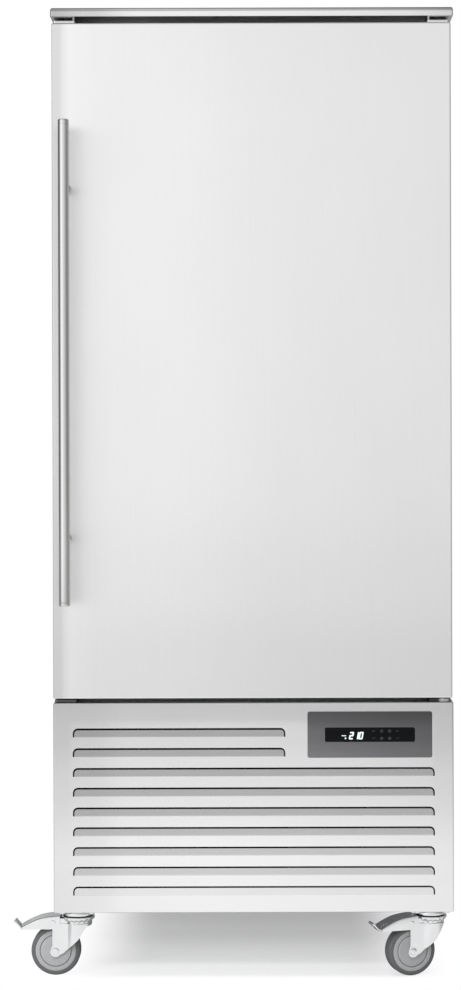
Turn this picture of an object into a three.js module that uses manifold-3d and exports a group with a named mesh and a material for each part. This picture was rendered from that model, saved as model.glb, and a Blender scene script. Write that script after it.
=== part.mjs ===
// An upright blast chiller on four castors, built as the real one is: a foam-filled cabinet with a
// stainless liner, a hinged door, a machine compartment with a louvred front panel, and the
// evaporator, fans and tray racks inside.
//
// Millimetres. +Z is up and the door faces -Y. While it is built, the cabinet's mid-plane is x = 0,
// the front of the door and of the louvred panel is y = 0, and the floor is z = 0.
import * as THREE from 'three';
import { mergeVertices } from 'three/addons/utils/BufferGeometryUtils.js';
import Module from 'manifold-3d';

// ---------------------------------------------------------------- driving dimensions

// Cabinet
const cabinetWidth = 800;
const cabinetDepth = 800; // front of the louvred panel to the back
const totalHeight = 1950;
const castorHeight = 140; // floor to the underside of the base
const baseHeight = 420; // the machine compartment
const insulation = 60; // foam in the sides, the floor and the back
const ceilingInsulation = 76;
const bodySetback = 72; // front of the door to the front face of the cabinet
const sheet = 1.2; // outer stainless sheet
const linerSheet = 1;
const seat = 0.3; // the gap left between two pieces that touch
const frontFlange = 25; // the side panels turn in round the mouth
const rearFlange = 15;
const mouthLip = 10; // the liner's flange round the mouth
const mouthRadius = 20; // coved corners of the cavity
const breakerDepth = 8;

// Cap
const capHeight = 18;
const capOverhang = 10; // how far the nosing stands in front of the door
const capSideOverhang = 2;
const capTopRadius = 7;
const capBottomRadius = 2.5;
const capEndRadius = 3;

// Door
const doorSideGap = 1; // the door is narrower than the cabinet by this much at each side
const doorShift = -1; // the door sits a little towards the handle side
const doorDepth = 60;
const doorCapGap = 13; // door to cap
const doorBaseGap = 8; // door to base
const bendRadius = 3; // folded edges of the pressed panels
const doorBossInset = 50; // raised middle of the door's inner side, from the door's edge
const doorBossDepth = 10;
const gasketInset = 20;
const gasketWidth = 22;

// Handle
const handleDiameter = 22;
const handleLength = 961;
const handleStandOff = 50; // door to the bar's axis
const handleEdgeDistance = 28; // door's free edge to the bar's axis
const handleDrop = 7; // door's middle to the bar's middle
const handlePostDistance = 132; // bar's end to each post
const handlePostDiameter = 14;
const handleFootDiameter = 22;
const handleFootHeight = 3;
const handleChamfer = 1.5;

// Hinges
const hingeEdgeDistance = 18; // door's hinged edge to the pin
const hingeSetback = 22; // front of the door to the pin
const pinDiameter = 10;
const pinDepth = 26; // how far the pin goes into the door
const pinPlay = 0.3;
const bracketThickness = 5;
const bracketWidth = 45;
const bracketInset = 2; // from the door's edge
const bracketReach = 10; // from the pin's axis to the front of the bracket
const bracketRadius = 4;
const bracketPlay = 2; // door to the upper bracket
const bracketLegWidth = 17;
const bracketLegHeight = 55;
const stopScrewDiameter = 5; // the screw between the cap and each upper bracket
const stopScrewInset = 4; // from the bracket's inner end and from its front

// Louvred front panel
const panelSheet = 1.5;
const panelReturn = 18;
const louvreCount = 9;
const shortLouvreCount = 2; // the top ones stop short of the control panel
const louvrePitch = 39.5;
const louvreDrop = 51; // top of the base to the highest cut
const louvreHeight = 20.4;
const louvreLeftInset = 41.5; // side of the base to the cuts
const louvreRightInset = 38;
const shortLouvreInset = 336.4; // right side of the base to the short cuts
const louvreRadius = 10;
const louvreSideCut = 3.8;
const louvreTopCut = 4.1;
const louvreTilt = 20; // degrees that each flap leans in

// Control panel
const bezelWidth = 249;
const bezelHeight = 92;
const bezelThickness = 3;
const bezelRadius = 4;
const bezelInset = 167.5; // right side of the base to the bezel's middle
const bezelDrop = 64.5; // top of the base to the bezel's middle
const windowWidth = 180;
const windowHeight = 28.5;
const windowRadius = 3;
const windowThickness = 2.4;
const windowCutWidth = 160; // the hole in the louvred panel behind the window
const windowCutHeight = 20;
const controlBoxDepth = 86;
const controlBoxInset = 8; // smaller than the bezel all round
const controlBoxWall = 2;

// Machine compartment
const chassisSheet = 2;
const chassisFlange = 30;
const deckUpstand = 25;
const compressorDiameter = 200;
const compressorHeight = 290;
const compressorWall = 5;
const compressorShoulder = 55; // height of the domed top
const compressorCrown = 18; // the flatter middle of the dome, and the taper at the foot
const compressorInset = 280; // left side to its axis
const compressorSetback = 340; // back of the cabinet to its axis
const compressorFootSize = 220;
const compressorFootThickness = 4;
const compressorFootRadius = 20;
const terminalBox = { width: 60, depth: 26, bottom: 150, height: 80 };
const condenserLeftInset = 50; // sides of the cabinet to the condenser
const condenserRightInset = 330;
const condenserDepth = 60;
const condenserY = 42; // its front face
const condenserHeight = 375;
const finPitch = 24;
const finThickness = 5;
const coilSheet = 6; // the plate that joins the fins
const condenserFanRadius = 145;
const shroudDepth = 34;
const shroudSheet = 2;
const receiverDiameter = 90;
const receiverHeight = 230;
const receiverWall = 4;
const receiverCrown = 24; // height of the domed ends
const receiverNeck = { radius: 8, height: 22 };
const receiverInset = 190; // right side to its axis
const receiverSetback = 240;
const trayWidth = 300;
const trayDepth = 170;
const trayHeight = 24;
const trayWall = 2;
const trayInset = 200; // right side to the tray's middle
const traySetback = 100;
const ventRows = 2;
const ventColumns = 10;
const ventWidth = 12;
const ventHeight = 130;
const ventPitch = 48;
const ventRowPitch = 170;
const ventBottom = 190;
const glandInset = 70; // right side to the gland
const glandZ = 190;
const glandDiameter = 26;
const glandBore = 11;
const glandLength = 18;
const glandShoulder = 4; // the nut is wider than the neck by this much
const glandNutDepth = 6;
const glandTail = 6; // thread inside the grille

// Inside the cabinet
const baffleSideGap = 20; // cavity's wall to the baffle
const baffleDepth = 149;
const baffleFloorGap = 40; // cavity floor to the baffle
const baffleCeilingGap = 92.8;
const baffleSheet = 1.5;
const fanRadius = 120;
const fanHubRadius = 30;
const fanDepth = 26;
const fanClearance = 8;
const fanBladeCount = 5;
const fanBladeThickness = 2.4;
const fanBladeTilt = 28; // degrees
const fanBladeRoot = 18; // width of a blade at the hub
const fanBladeSpread = 35; // degrees that a blade's tip spans
const fanMotorGap = 3; // fan to motor, and fan to the sheet in front
const fanShaftDiameter = 8;
const motorDiameter = 86;
const motorLength = 42;
const motorArmHeight = 22;
const motorArmThickness = 3;
const motorArmInset = 15; // fan mouth's edge to the arm's foot
const evaporatorFanInset = 300; // baffle's ends to the fans' axes
const evaporatorSideGap = 25; // side of the baffle to the coil
const evaporatorDepth = 44;
const evaporatorMargin = 20; // to the top and bottom of the baffle
const probeSocketDiameter = 24;
const probeSocketLength = 14;
const probeSocketInset = 70; // side of the baffle to the socket
const probeSocketDrop = 65; // top of the baffle to the socket

// Tray racks
const levelCount = 14;
const firstLevelHeight = 85; // cavity floor to the lowest level
const lastLevelGap = 127.8; // highest level to the ceiling
const rackSpace = 28; // cavity's wall to the runners' upright webs
const runnerLedge = 27;
const runnerWeb = 16;
const runnerSheet = 2;
const runnerFront = 110;
const runnerBaffleGap = 24.7;
const uprightWidth = 18;
const rackOverrun = 45; // uprights above and below the runners

// Castors
const wheelDiameter = 100;
const tyreWidth = 31;
const tyreBore = 68;
const tyreShoulder = 5;
const hubWidth = 33;
const guardDiameter = 62; // the thread guard on each side of the hub
const guardDepth = 3;
const axleDiameter = 12;
const axlePlay = 0.4;
const axleHeadDiameter = 19;
const axleHeadThickness = 4;
const castorTrail = 44;
const castorInsetX = 41.5; // side of the cabinet to the swivel axis
const castorInsetY = 80;
const castorPlateWidth = 80; // across the cabinet
const castorPlateLength = 100;
const castorPlateThickness = 3;
const castorPlateRadius = 8;
const cupDiameter = 62;
const cupFootDiameter = 46;
const cupHeight = 14;
const cupLip = 8; // height of the cup's full-width rim
const kingpinDiameter = 13;
const kingpinHeadDiameter = 24;
const kingpinHeadThickness = 3.5;
const crownHeight = 118; // floor to the top of the fork
const crownThickness = 10;
const headDiameter = 56;
const headFootDiameter = 40;
const headFootHeight = 66;
const raceDiameter = 44;
const forkGap = 37.2; // between the legs
const forkSheet = 3;
const forkLobeRadius = 10.7;
const forkWheelClearance = 3;
// The fork's trailing edge, from the lobe up to the head, as (x, z) from the axle
const forkBack = [[17, -3], [31, 10], [46.5, 24.5], [59, 44.3], [69, 59]];
const pedalPivotX = -3.8; // from the axle
const pedalPivotZ = 59.2; // above the axle
const pedalPinDiameter = 8;
const pedalEarRadius = 7.5;
const pedalPlay = 0.4;
const pedalSheet = 2;
const pedalRivetDiameter = 12;
const pedalRivetHead = 2;
const pedalLipThickness = 5.5;
const pedalLipLength = 18;
const shoeWidth = 24;
const shoeStart = -22; // the brake pad, from the axle
const shoeEnd = -10;
const shoeBottom = 53;
const castors = [
  { name: 'front_left', x: -1, y: castorInsetY, swivel: 0, braked: true },
  { name: 'front_right', x: 1, y: castorInsetY, swivel: 17, braked: true },
  { name: 'rear_left', x: -1, y: cabinetDepth - castorInsetY, swivel: 0, braked: false },
  { name: 'rear_right', x: 1, y: cabinetDepth - castorInsetY, swivel: 10, braked: false },
];

// Facets
const roundSides = 20;
const smallSides = 12;
const castorSides = 12;
const hubSides = 16;
const wheelSides = 24;
const fanSides = 24;
const cornerSteps = 3;

// ---------------------------------------------------------------- sizes that follow

const halfWidth = cabinetWidth / 2;
const baseTop = castorHeight + baseHeight;
const capBottom = totalHeight - capHeight;
const doorBottom = baseTop + doorBaseGap;
const doorTop = capBottom - doorCapGap;
const doorLeft = doorSideGap - halfWidth + doorShift;
const doorRight = halfWidth - doorSideGap + doorShift;
const bodyTop = totalHeight - sheet - seat;
const innerHalf = halfWidth - sheet - seat; // what fits between the side panels
const innerBack = cabinetDepth - sheet - seat; // what fits in front of the rear flanges
const backPanelFront = innerBack - sheet;
const mouthHalf = halfWidth - insulation;
const mouthBottom = baseTop + insulation;
const mouthTop = totalHeight - sheet - ceilingInsulation;
const linerBack = cabinetDepth - insulation;
const baffleBack = linerBack - linerSheet - seat;
const baffleFront = baffleBack - baffleDepth;
const baffleWidth = 2 * (mouthHalf - baffleSideGap);
const evaporatorWidth = baffleWidth - 2 * evaporatorSideGap;
const probeSocketX = baffleWidth / 2 - probeSocketInset;
const baffleBottom = mouthBottom + baffleFloorGap;
const baffleTop = mouthTop - baffleCeilingGap;
const evaporatorFanHeights = {
  lower: baffleBottom + evaporatorFanInset,
  upper: baffleTop - evaporatorFanInset,
};
const probeSocketZ = baffleTop - probeSocketDrop;
const trayPathWidth = 2 * (mouthHalf - rackSpace);
const runnerBack = baffleFront - runnerBaffleGap;
const firstLevel = mouthBottom + firstLevelHeight;
const levelPitch = (mouthTop - lastLevelGap - firstLevel) / (levelCount - 1);
const handleMiddle = (doorBottom + doorTop) / 2 - handleDrop;
const louvreTop = baseTop - louvreDrop;
const louvreLeft = louvreLeftInset - halfWidth;
const louvreRight = halfWidth - louvreRightInset;
const shortLouvreRight = halfWidth - shortLouvreInset;
const bezelCentreX = halfWidth - bezelInset;
const bezelCentreZ = baseTop - bezelDrop;
const condenserWidth = cabinetWidth - condenserLeftInset - condenserRightInset;
const condenserX = (condenserLeftInset - condenserRightInset) / 2;
const compressorX = compressorInset - halfWidth;
const compressorY = cabinetDepth - compressorSetback;
const receiverX = halfWidth - receiverInset;
const receiverY = cabinetDepth - receiverSetback;
const trayX = halfWidth - trayInset;
const trayY = cabinetDepth - traySetback;
const glandX = halfWidth - glandInset;
const castorAxisX = halfWidth - castorInsetX;
const hingeX = doorRight - hingeEdgeDistance;
const hingeY = hingeSetback;
const wheelRadius = wheelDiameter / 2;
const faceRadius = (radius, sides) => radius / Math.cos(Math.PI / sides);

// ---------------------------------------------------------------- materials

const metal = (color, roughness) => new THREE.MeshStandardMaterial({ color, roughness, metalness: 1 });
const plain = (color, roughness) => new THREE.MeshStandardMaterial({ color, roughness, metalness: 0 });
const stainless = metal(0xd6d6d2, 0.38);
const innerStainless = metal(0xc9cac8, 0.32);
const polished = metal(0xe2e2e0, 0.18);
const galvanised = metal(0xb4b8ba, 0.5);
const aluminium = metal(0xc4c7c9, 0.45);
const darkMetal = metal(0x55565a, 0.42);
const blackPaint = plain(0x1b1c1e, 0.5);
const foam = plain(0xe6d9ae, 0.9);
const gasketRubber = plain(0x6f7174, 0.75);
const glass = plain(0x08090b, 0.08);
const greyPlastic = plain(0x9a9c9e, 0.55);
const breakerPlastic = plain(0xdedfdd, 0.5);
const tyreRubber = plain(0x77797b, 0.7);
const zinc = metal(0xcfd2d3, 0.3);

// ---------------------------------------------------------------- solids

const wasm = await Module();
wasm.setup();

/** A closed geometry as a solid: corners shared, collapsed triangles dropped, faces pointing out. */
function solidOf(geometry) {
  const bare = new THREE.BufferGeometry();
  bare.setAttribute('position', geometry.getAttribute('position').clone());
  if (geometry.index) bare.setIndex(geometry.index.clone());
  const merged = mergeVertices(bare, 1e-3);
  const position = merged.getAttribute('position');
  const corners = [];
  let volume = 0;
  const [a, b, c] = [new THREE.Vector3(), new THREE.Vector3(), new THREE.Vector3()];
  for (let i = 0; i < merged.index.count; i += 3) {
    const [p, q, r] = [0, 1, 2].map((k) => merged.index.getX(i + k));
    if (p === q || q === r || r === p) continue;
    corners.push([p, q, r]);
    a.fromBufferAttribute(position, p);
    b.fromBufferAttribute(position, q);
    c.fromBufferAttribute(position, r);
    volume += a.dot(b.cross(c));
  }
  const outward = volume < 0 ? corners.map(([p, q, r]) => [p, r, q]) : corners;
  return new wasm.Manifold(new wasm.Mesh({
    numProp: 3,
    vertProperties: new Float32Array(position.array),
    triVerts: new Uint32Array(outward.flat()),
  }));
}

/** Add a solid to a group as a named mesh. */
function place(group, name, solid, material) {
  const { vertProperties, triVerts } = solid.getMesh();
  const geometry = new THREE.BufferGeometry();
  geometry.setAttribute('position', new THREE.BufferAttribute(vertProperties, 3));
  geometry.setIndex(new THREE.BufferAttribute(triVerts, 1));
  geometry.computeVertexNormals();
  const mesh = new THREE.Mesh(geometry, material);
  mesh.name = name;
  group.add(mesh);
  return mesh;
}

const join = (...solids) => solids.reduce((sum, solid) => sum.add(solid));
const cut = (solid, ...tools) => tools.reduce((rest, tool) => rest.subtract(tool), solid);

/** A box between two values on each axis, in either order. */
function block([x0, x1], [y0, y1], [z0, z1]) {
  const box = new THREE.BoxGeometry(Math.abs(x1 - x0), Math.abs(y1 - y0), Math.abs(z1 - z0));
  return solidOf(box.translate((x0 + x1) / 2, (y0 + y1) / 2, (z0 + z1) / 2));
}

// How a drawing lies in space: on each axis, drawing right, drawing up and the way it is extruded.
const frames = {
  x: new THREE.Matrix4().makeBasis(
    new THREE.Vector3(0, 1, 0), new THREE.Vector3(0, 0, 1), new THREE.Vector3(1, 0, 0)),
  y: new THREE.Matrix4().makeBasis(
    new THREE.Vector3(1, 0, 0), new THREE.Vector3(0, 0, 1), new THREE.Vector3(0, -1, 0)),
  z: new THREE.Matrix4(),
};

/** An outline extruded along an axis. Its points are (y, z) for x, (x, z) for y and (x, y) for z. */
function prism(axis, outline, from, to) {
  const shape = new THREE.Shape(outline);
  const geometry = new THREE.ExtrudeGeometry(shape, { depth: to - from, bevelEnabled: false });
  geometry.translate(0, 0, axis === 'y' ? -to : from);
  return solidOf(geometry.applyMatrix4(frames[axis]));
}

/** A profile of (radius, height) points turned about an axis, with its flats facing the axes. */
function turned(axis, profile, sides = roundSides) {
  const points = profile.map(([radius, height]) => new THREE.Vector2(radius, height));
  const geometry = new THREE.LatheGeometry(points, sides);
  geometry.rotateY(Math.PI / sides);
  if (axis === 'z') geometry.rotateX(Math.PI / 2);
  if (axis === 'x') geometry.rotateZ(-Math.PI / 2);
  return solidOf(geometry);
}

/** A round bar along an axis. */
function rod(axis, radius, from, to, sides = roundSides) {
  return turned(axis, [[0, from], [radius, from], [radius, to], [0, to]], sides);
}

/** Points on an arc, from one angle to another in degrees. */
function arc(cx, cy, radius, start, end, steps = cornerSteps) {
  return Array.from({ length: steps + 1 }, (_, i) => {
    const angle = THREE.MathUtils.degToRad(start + ((end - start) * i) / steps);
    return new THREE.Vector2(cx + radius * Math.cos(angle), cy + radius * Math.sin(angle));
  });
}

/** A rectangle with one radius on its lower corners and one on its upper ones. */
function roundedRectangle([x0, x1], [y0, y1], lower, upper = lower) {
  const corner = (cx, cy, radius, start) => (radius > 0
    ? arc(cx, cy, radius, start, start + 90)
    : [new THREE.Vector2(cx, cy)]);
  return [
    ...corner(x0 + lower, y0 + lower, lower, 180),
    ...corner(x1 - lower, y0 + lower, lower, 270),
    ...corner(x1 - upper, y1 - upper, upper, 0),
    ...corner(x0 + upper, y1 - upper, upper, 90),
  ];
}

/** A pressed panel that faces -Y: a sheet with folded edges and returns behind it on all sides. */
function pressedPan([x0, x1], [z0, z1], depth, thickness) {
  const face = new THREE.Shape(roundedRectangle(
    [x0 + bendRadius, x1 - bendRadius], [z0 + bendRadius, z1 - bendRadius], 0));
  const geometry = new THREE.ExtrudeGeometry(face, {
    depth: depth + bendRadius,
    bevelThickness: bendRadius,
    bevelSize: bendRadius,
    bevelSegments: cornerSteps,
  });
  geometry.translate(0, 0, -depth - 2 * bendRadius);
  const outer = solidOf(geometry.applyMatrix4(frames.y));
  const behind = 3 * bendRadius;
  const hollow = block(
    [x0 + thickness, x1 - thickness], [thickness, depth + behind], [z0 + thickness, z1 - thickness]);
  const surplus = block([x0 - 1, x1 + 1], [depth, depth + behind], [z0 - 1, z1 + 1]);
  return cut(outer, hollow, surplus);
}

/** A tube and fin heat exchanger: a block with a comb of fins on the side facing -Y. */
function finnedBlock(width, depth, [z0, z1]) {
  const count = Math.floor(width / finPitch);
  const first = -((count - 1) * finPitch) / 2;
  const finDepth = depth - coilSheet;
  const outline = [new THREE.Vector2(width / 2, finDepth), new THREE.Vector2(width / 2, depth)];
  outline.push(new THREE.Vector2(-width / 2, depth), new THREE.Vector2(-width / 2, finDepth));
  for (let i = 0; i < count; i += 1) {
    const middle = first + i * finPitch;
    const [left, right] = [middle - finThickness / 2, middle + finThickness / 2];
    outline.push(new THREE.Vector2(left, finDepth), new THREE.Vector2(left, 0));
    outline.push(new THREE.Vector2(right, 0), new THREE.Vector2(right, finDepth));
  }
  return prism('z', outline, z0, z1);
}

/** An axial fan that blows along Y: a hub bored for the shaft, and tilted blades on it. */
function axialFan(radius) {
  const bore = fanShaftDiameter / 2 + seat;
  const half = fanDepth / 2;
  const hub = turned('y', [
    [bore, -half], [fanHubRadius - 4, -half], [fanHubRadius, -half + 4],
    [fanHubRadius, half], [bore, half], [bore, -half],
  ], smallSides);
  const root = fanHubRadius * Math.cos(Math.PI / 4); // each blade starts inside the hub
  const outline = [
    new THREE.Vector2(root, -fanBladeRoot / 2),
    ...arc(0, 0, radius, -fanBladeSpread / 2, fanBladeSpread / 2, 2),
    new THREE.Vector2(root, fanBladeRoot / 2),
  ];
  const flat = { depth: fanBladeThickness, bevelEnabled: false };
  const blades = Array.from({ length: fanBladeCount }, (_, i) => {
    const blade = new THREE.ExtrudeGeometry(new THREE.Shape(outline), flat);
    blade.translate(0, 0, -fanBladeThickness / 2);
    blade.rotateX(THREE.MathUtils.degToRad(fanBladeTilt));
    blade.applyMatrix4(frames.y);
    blade.rotateY((i * 2 * Math.PI) / fanBladeCount);
    return solidOf(blade);
  });
  const sweep = turned('y', [[0, -half], [radius, -half], [radius, half], [0, half]], fanSides);
  const boreTool = rod('y', bore, -half - 1, half + 1, smallSides);
  return cut(join(hub, ...blades), boreTool).intersect(sweep);
}

/** A fan motor behind its fan, on a bar whose two feet reach forward to the sheet in front. */
function fanMotor(barLength, footReach) {
  const front = fanDepth / 2 + fanMotorGap;
  const body = turned('y', [
    [0, front], [motorDiameter / 2 - 8, front], [motorDiameter / 2, front + 8],
    [motorDiameter / 2, front + motorLength - 5], [motorDiameter / 2 - 5, front + motorLength],
    [0, front + motorLength],
  ], smallSides);
  const shaft = rod('y', fanShaftDiameter / 2, -fanDepth / 2, front + 1, smallSides);
  const halfArm = motorArmHeight / 2;
  const bar = block(
    [-barLength / 2, barLength / 2], [front + 8, front + 8 + motorArmThickness], [-halfArm, halfArm]);
  const foot = (side) => block(
    [side * (barLength / 2 - motorArmThickness), side * (barLength / 2)],
    [-footReach, front + 8 + motorArmThickness], [-halfArm, halfArm]);
  return join(body, shaft, bar, foot(-1), foot(1));
}

// ---------------------------------------------------------------- cabinet

/** A side panel: low and full depth beside the base, set back beside the door. */
function sidePanel(side) {
  const outline = [
    new THREE.Vector2(panelReturn + seat, castorHeight),
    new THREE.Vector2(cabinetDepth, castorHeight),
    new THREE.Vector2(cabinetDepth, bodyTop),
    new THREE.Vector2(bodySetback, bodyTop),
    new THREE.Vector2(bodySetback, baseTop),
    new THREE.Vector2(panelReturn + seat, baseTop),
  ];
  const [from, to] = side < 0 ? [-halfWidth, sheet - halfWidth] : [halfWidth - sheet, halfWidth];
  const skin = prism('x', outline, from, to);
  const mouthFlange = block(
    [side * (halfWidth - frontFlange), side * halfWidth],
    [bodySetback, bodySetback + sheet], [baseTop + seat, bodyTop]);
  const backFlange = block(
    [side * (halfWidth - rearFlange), side * halfWidth],
    [cabinetDepth - sheet, cabinetDepth], [castorHeight, bodyTop]);
  return join(skin, mouthFlange, backFlange);
}

/** The cap: a shallow lid with a rounded nosing over the door and a fascia down to the breaker. */
function topCap() {
  const half = halfWidth + capSideOverhang;
  const back = cabinetDepth + capSideOverhang;
  const side = [
    ...arc(capBottomRadius - capOverhang, capBottom + capBottomRadius, capBottomRadius, 270, 180),
    ...arc(capTopRadius - capOverhang, totalHeight - capTopRadius, capTopRadius, 180, 90, 5),
    new THREE.Vector2(back, totalHeight),
    new THREE.Vector2(back, capBottom),
  ].reverse();
  const ends = roundedRectangle([-half, half], [capBottom, totalHeight], capEndRadius);
  const outer = prism('x', side, -half, half).intersect(prism('y', ends, -capOverhang - 1, back + 1));
  const noseBack = capTopRadius - capOverhang; // the hollow starts behind the rounded nose
  const hollow = block(
    [-half + sheet, half - sheet], [noseBack, back - sheet], [capBottom + sheet, totalHeight - sheet]);
  const openBelow = block(
    [-half + sheet, half - sheet], [bodySetback - seat, back - sheet],
    [capBottom - 1, capBottom + 2 * sheet]);
  const fasciaHalf = halfWidth - frontFlange - seat;
  const shelf = block(
    [-fasciaHalf, fasciaHalf], [bodySetback - sheet, bodySetback + sheet], [capBottom, capBottom + sheet]);
  const fascia = block(
    [-fasciaHalf, fasciaHalf], [bodySetback, bodySetback + sheet],
    [mouthTop + mouthLip + frontFlange, capBottom + sheet]);
  return join(cut(outer, hollow, openBelow), shelf, fascia);
}

/** The breaker's outer edge: it fits between the side flanges, the deck and the fascia. */
const breakerX = [seat + frontFlange - halfWidth, halfWidth - frontFlange - seat];
const breakerZ = [baseTop + deckUpstand + seat, mouthTop + mouthLip + frontFlange - seat];

/** The mouth of the cabinet, grown by some amount all round. */
const mouthOutline = (grow) => roundedRectangle(
  [-mouthHalf - grow, mouthHalf + grow], [mouthBottom - grow, mouthTop + grow], mouthRadius + grow);

function cabinetInsulation() {
  const front = bodySetback + sheet + seat;
  const body = block(
    [-innerHalf, innerHalf], [front, backPanelFront - seat], [baseTop + seat, bodyTop - seat]);
  const cavity = prism('y', mouthOutline(seat), front - 1, linerBack + seat);
  const breakerPocket = block(
    [breakerX[0] - seat, breakerX[1] + seat], [front - 1, bodySetback + breakerDepth + seat],
    [breakerZ[0] - seat, breakerZ[1] + seat]);
  return cut(body, cavity, breakerPocket);
}

function innerLiner() {
  const tank = prism('y', mouthOutline(0), bodySetback, linerBack);
  const flange = prism('y', mouthOutline(mouthLip), bodySetback, bodySetback + linerSheet);
  const cavity = prism('y', mouthOutline(-linerSheet), bodySetback - 1, linerBack - linerSheet);
  return cut(join(tank, flange), cavity);
}

function frontFrame() {
  const ring = prism(
    'y', roundedRectangle(breakerX, breakerZ, 0), bodySetback, bodySetback + breakerDepth);
  return cut(ring, prism('y', mouthOutline(mouthLip + seat), 0, cabinetDepth));
}

function compartmentDeck() {
  const floor = block(
    [-innerHalf, innerHalf], [panelReturn + seat, backPanelFront - seat], [baseTop - sheet, baseTop]);
  const upstand = block(
    breakerX, [bodySetback, bodySetback + sheet], [baseTop - sheet, baseTop + deckUpstand]);
  return join(floor, upstand);
}

function backPanel() {
  return block([-innerHalf, innerHalf], [backPanelFront, innerBack], [baseTop + seat, bodyTop - seat]);
}

// ---------------------------------------------------------------- base

/** One louvre: the window cut through the panel, and the flap hinged along its bottom edge. */
function louvre(right, top) {
  const bottom = top - louvreHeight;
  const window = roundedRectangle([louvreLeft, right], [bottom, top], 0, louvreRadius);
  const root = panelSheet / 2; // the flap starts inside the sheet that it is bent from
  const flap = new THREE.Shape(roundedRectangle(
    [louvreLeft + louvreSideCut, right - louvreSideCut], [-root, louvreHeight - louvreTopCut],
    0, louvreRadius - louvreTopCut));
  const leaf = new THREE.ExtrudeGeometry(flap, { depth: panelSheet, bevelEnabled: false });
  leaf.translate(0, 0, -panelSheet / 2).applyMatrix4(frames.y);
  leaf.rotateX(-THREE.MathUtils.degToRad(louvreTilt));
  leaf.translate(0, panelSheet / 2, bottom);
  return { window: prism('y', window, -1, panelSheet + 1), flap: solidOf(leaf) };
}

function louvredPanel() {
  let panel = pressedPan([-halfWidth, halfWidth], [castorHeight, baseTop], panelReturn, panelSheet);
  for (let i = 0; i < louvreCount; i += 1) {
    const right = i < shortLouvreCount ? shortLouvreRight : louvreRight;
    const { window, flap } = louvre(right, louvreTop - i * louvrePitch);
    panel = panel.subtract(window).add(flap);
  }
  const displayHole = prism('y', roundedRectangle(
    [bezelCentreX - windowCutWidth / 2, bezelCentreX + windowCutWidth / 2],
    [bezelCentreZ - windowCutHeight / 2, bezelCentreZ + windowCutHeight / 2], windowRadius),
  -1, panelSheet + 1);
  const inFront = block([-halfWidth, halfWidth], [-panelSheet, 0], [castorHeight, baseTop]);
  return cut(panel, displayHole, inFront);
}

/** The outline of something centred on the control panel. */
const controlOutline = (width, height, radius) => roundedRectangle(
  [bezelCentreX - width / 2, bezelCentreX + width / 2],
  [bezelCentreZ - height / 2, bezelCentreZ + height / 2], radius);

function controlBezel() {
  const plate = prism(
    'y', controlOutline(bezelWidth, bezelHeight, bezelRadius), -bezelThickness - seat, -seat);
  const hole = controlOutline(windowWidth + 2 * seat, windowHeight + 2 * seat, windowRadius + seat);
  return cut(plate, prism('y', hole, -bezelThickness - 1, 1));
}

function displayWindow() {
  return prism(
    'y', controlOutline(windowWidth, windowHeight, windowRadius), -windowThickness - seat, -seat);
}

function controlBox() {
  const front = panelSheet + seat;
  const half = [bezelWidth / 2 - controlBoxInset, bezelHeight / 2 - controlBoxInset / 2];
  const box = (shrink, y) => block(
    [bezelCentreX - half[0] + shrink, bezelCentreX + half[0] - shrink], y,
    [bezelCentreZ - half[1] + shrink, bezelCentreZ + half[1] - shrink]);
  return cut(
    box(0, [front, front + controlBoxDepth]),
    box(controlBoxWall, [front - 1, front + controlBoxDepth - controlBoxWall]));
}

function baseChassis() {
  const front = panelReturn + seat;
  const back = backPanelFront - seat;
  const tray = block(
    [-innerHalf, innerHalf], [front, back], [castorHeight, castorHeight + chassisFlange]);
  const hollow = block(
    [-innerHalf + chassisSheet, innerHalf - chassisSheet], [front + chassisSheet, back - chassisSheet],
    [castorHeight + chassisSheet, castorHeight + chassisFlange + 1]);
  return cut(tray, hollow);
}

const chassisFloor = castorHeight + chassisSheet + seat; // what stands on the chassis starts here
const condenserTop = chassisFloor + condenserHeight;

/** The rear grille: rows of upright vents, and a hole that the cable gland passes through. */
function rearGrille() {
  let panel = block([-innerHalf, innerHalf], [backPanelFront, innerBack],
    [castorHeight + seat, baseTop - sheet - seat]);
  const first = -((ventColumns - 1) * ventPitch) / 2;
  for (let row = 0; row < ventRows; row += 1) {
    for (let column = 0; column < ventColumns; column += 1) {
      const x = first + column * ventPitch;
      const z = ventBottom + row * ventRowPitch;
      panel = panel.subtract(block(
        [x - ventWidth / 2, x + ventWidth / 2], [backPanelFront - 1, innerBack + 1],
        [z, z + ventHeight]));
    }
  }
  const hole = rod(
    'y', glandDiameter / 2 - glandShoulder + seat, backPanelFront - 1, innerBack + 1, smallSides);
  return cut(panel, hole.translate([glandX, 0, glandZ]));
}

/** The cable gland: a threaded neck through the grille, a hexagon and a domed nut, bored through. */
function cableGland() {
  const face = innerBack + seat;
  const nut = glandDiameter / 2;
  const neck = nut - glandShoulder;
  const bore = glandBore / 2;
  const tail = backPanelFront - glandTail;
  const body = turned('y', [
    [bore, tail], [neck, tail], [neck, face], [nut, face], [nut, face + glandNutDepth],
    [neck, face + glandLength - glandShoulder], [bore + 2, face + glandLength],
    [bore, face + glandLength], [bore, tail],
  ], smallSides);
  return body.translate([glandX, 0, glandZ]);
}

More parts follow.
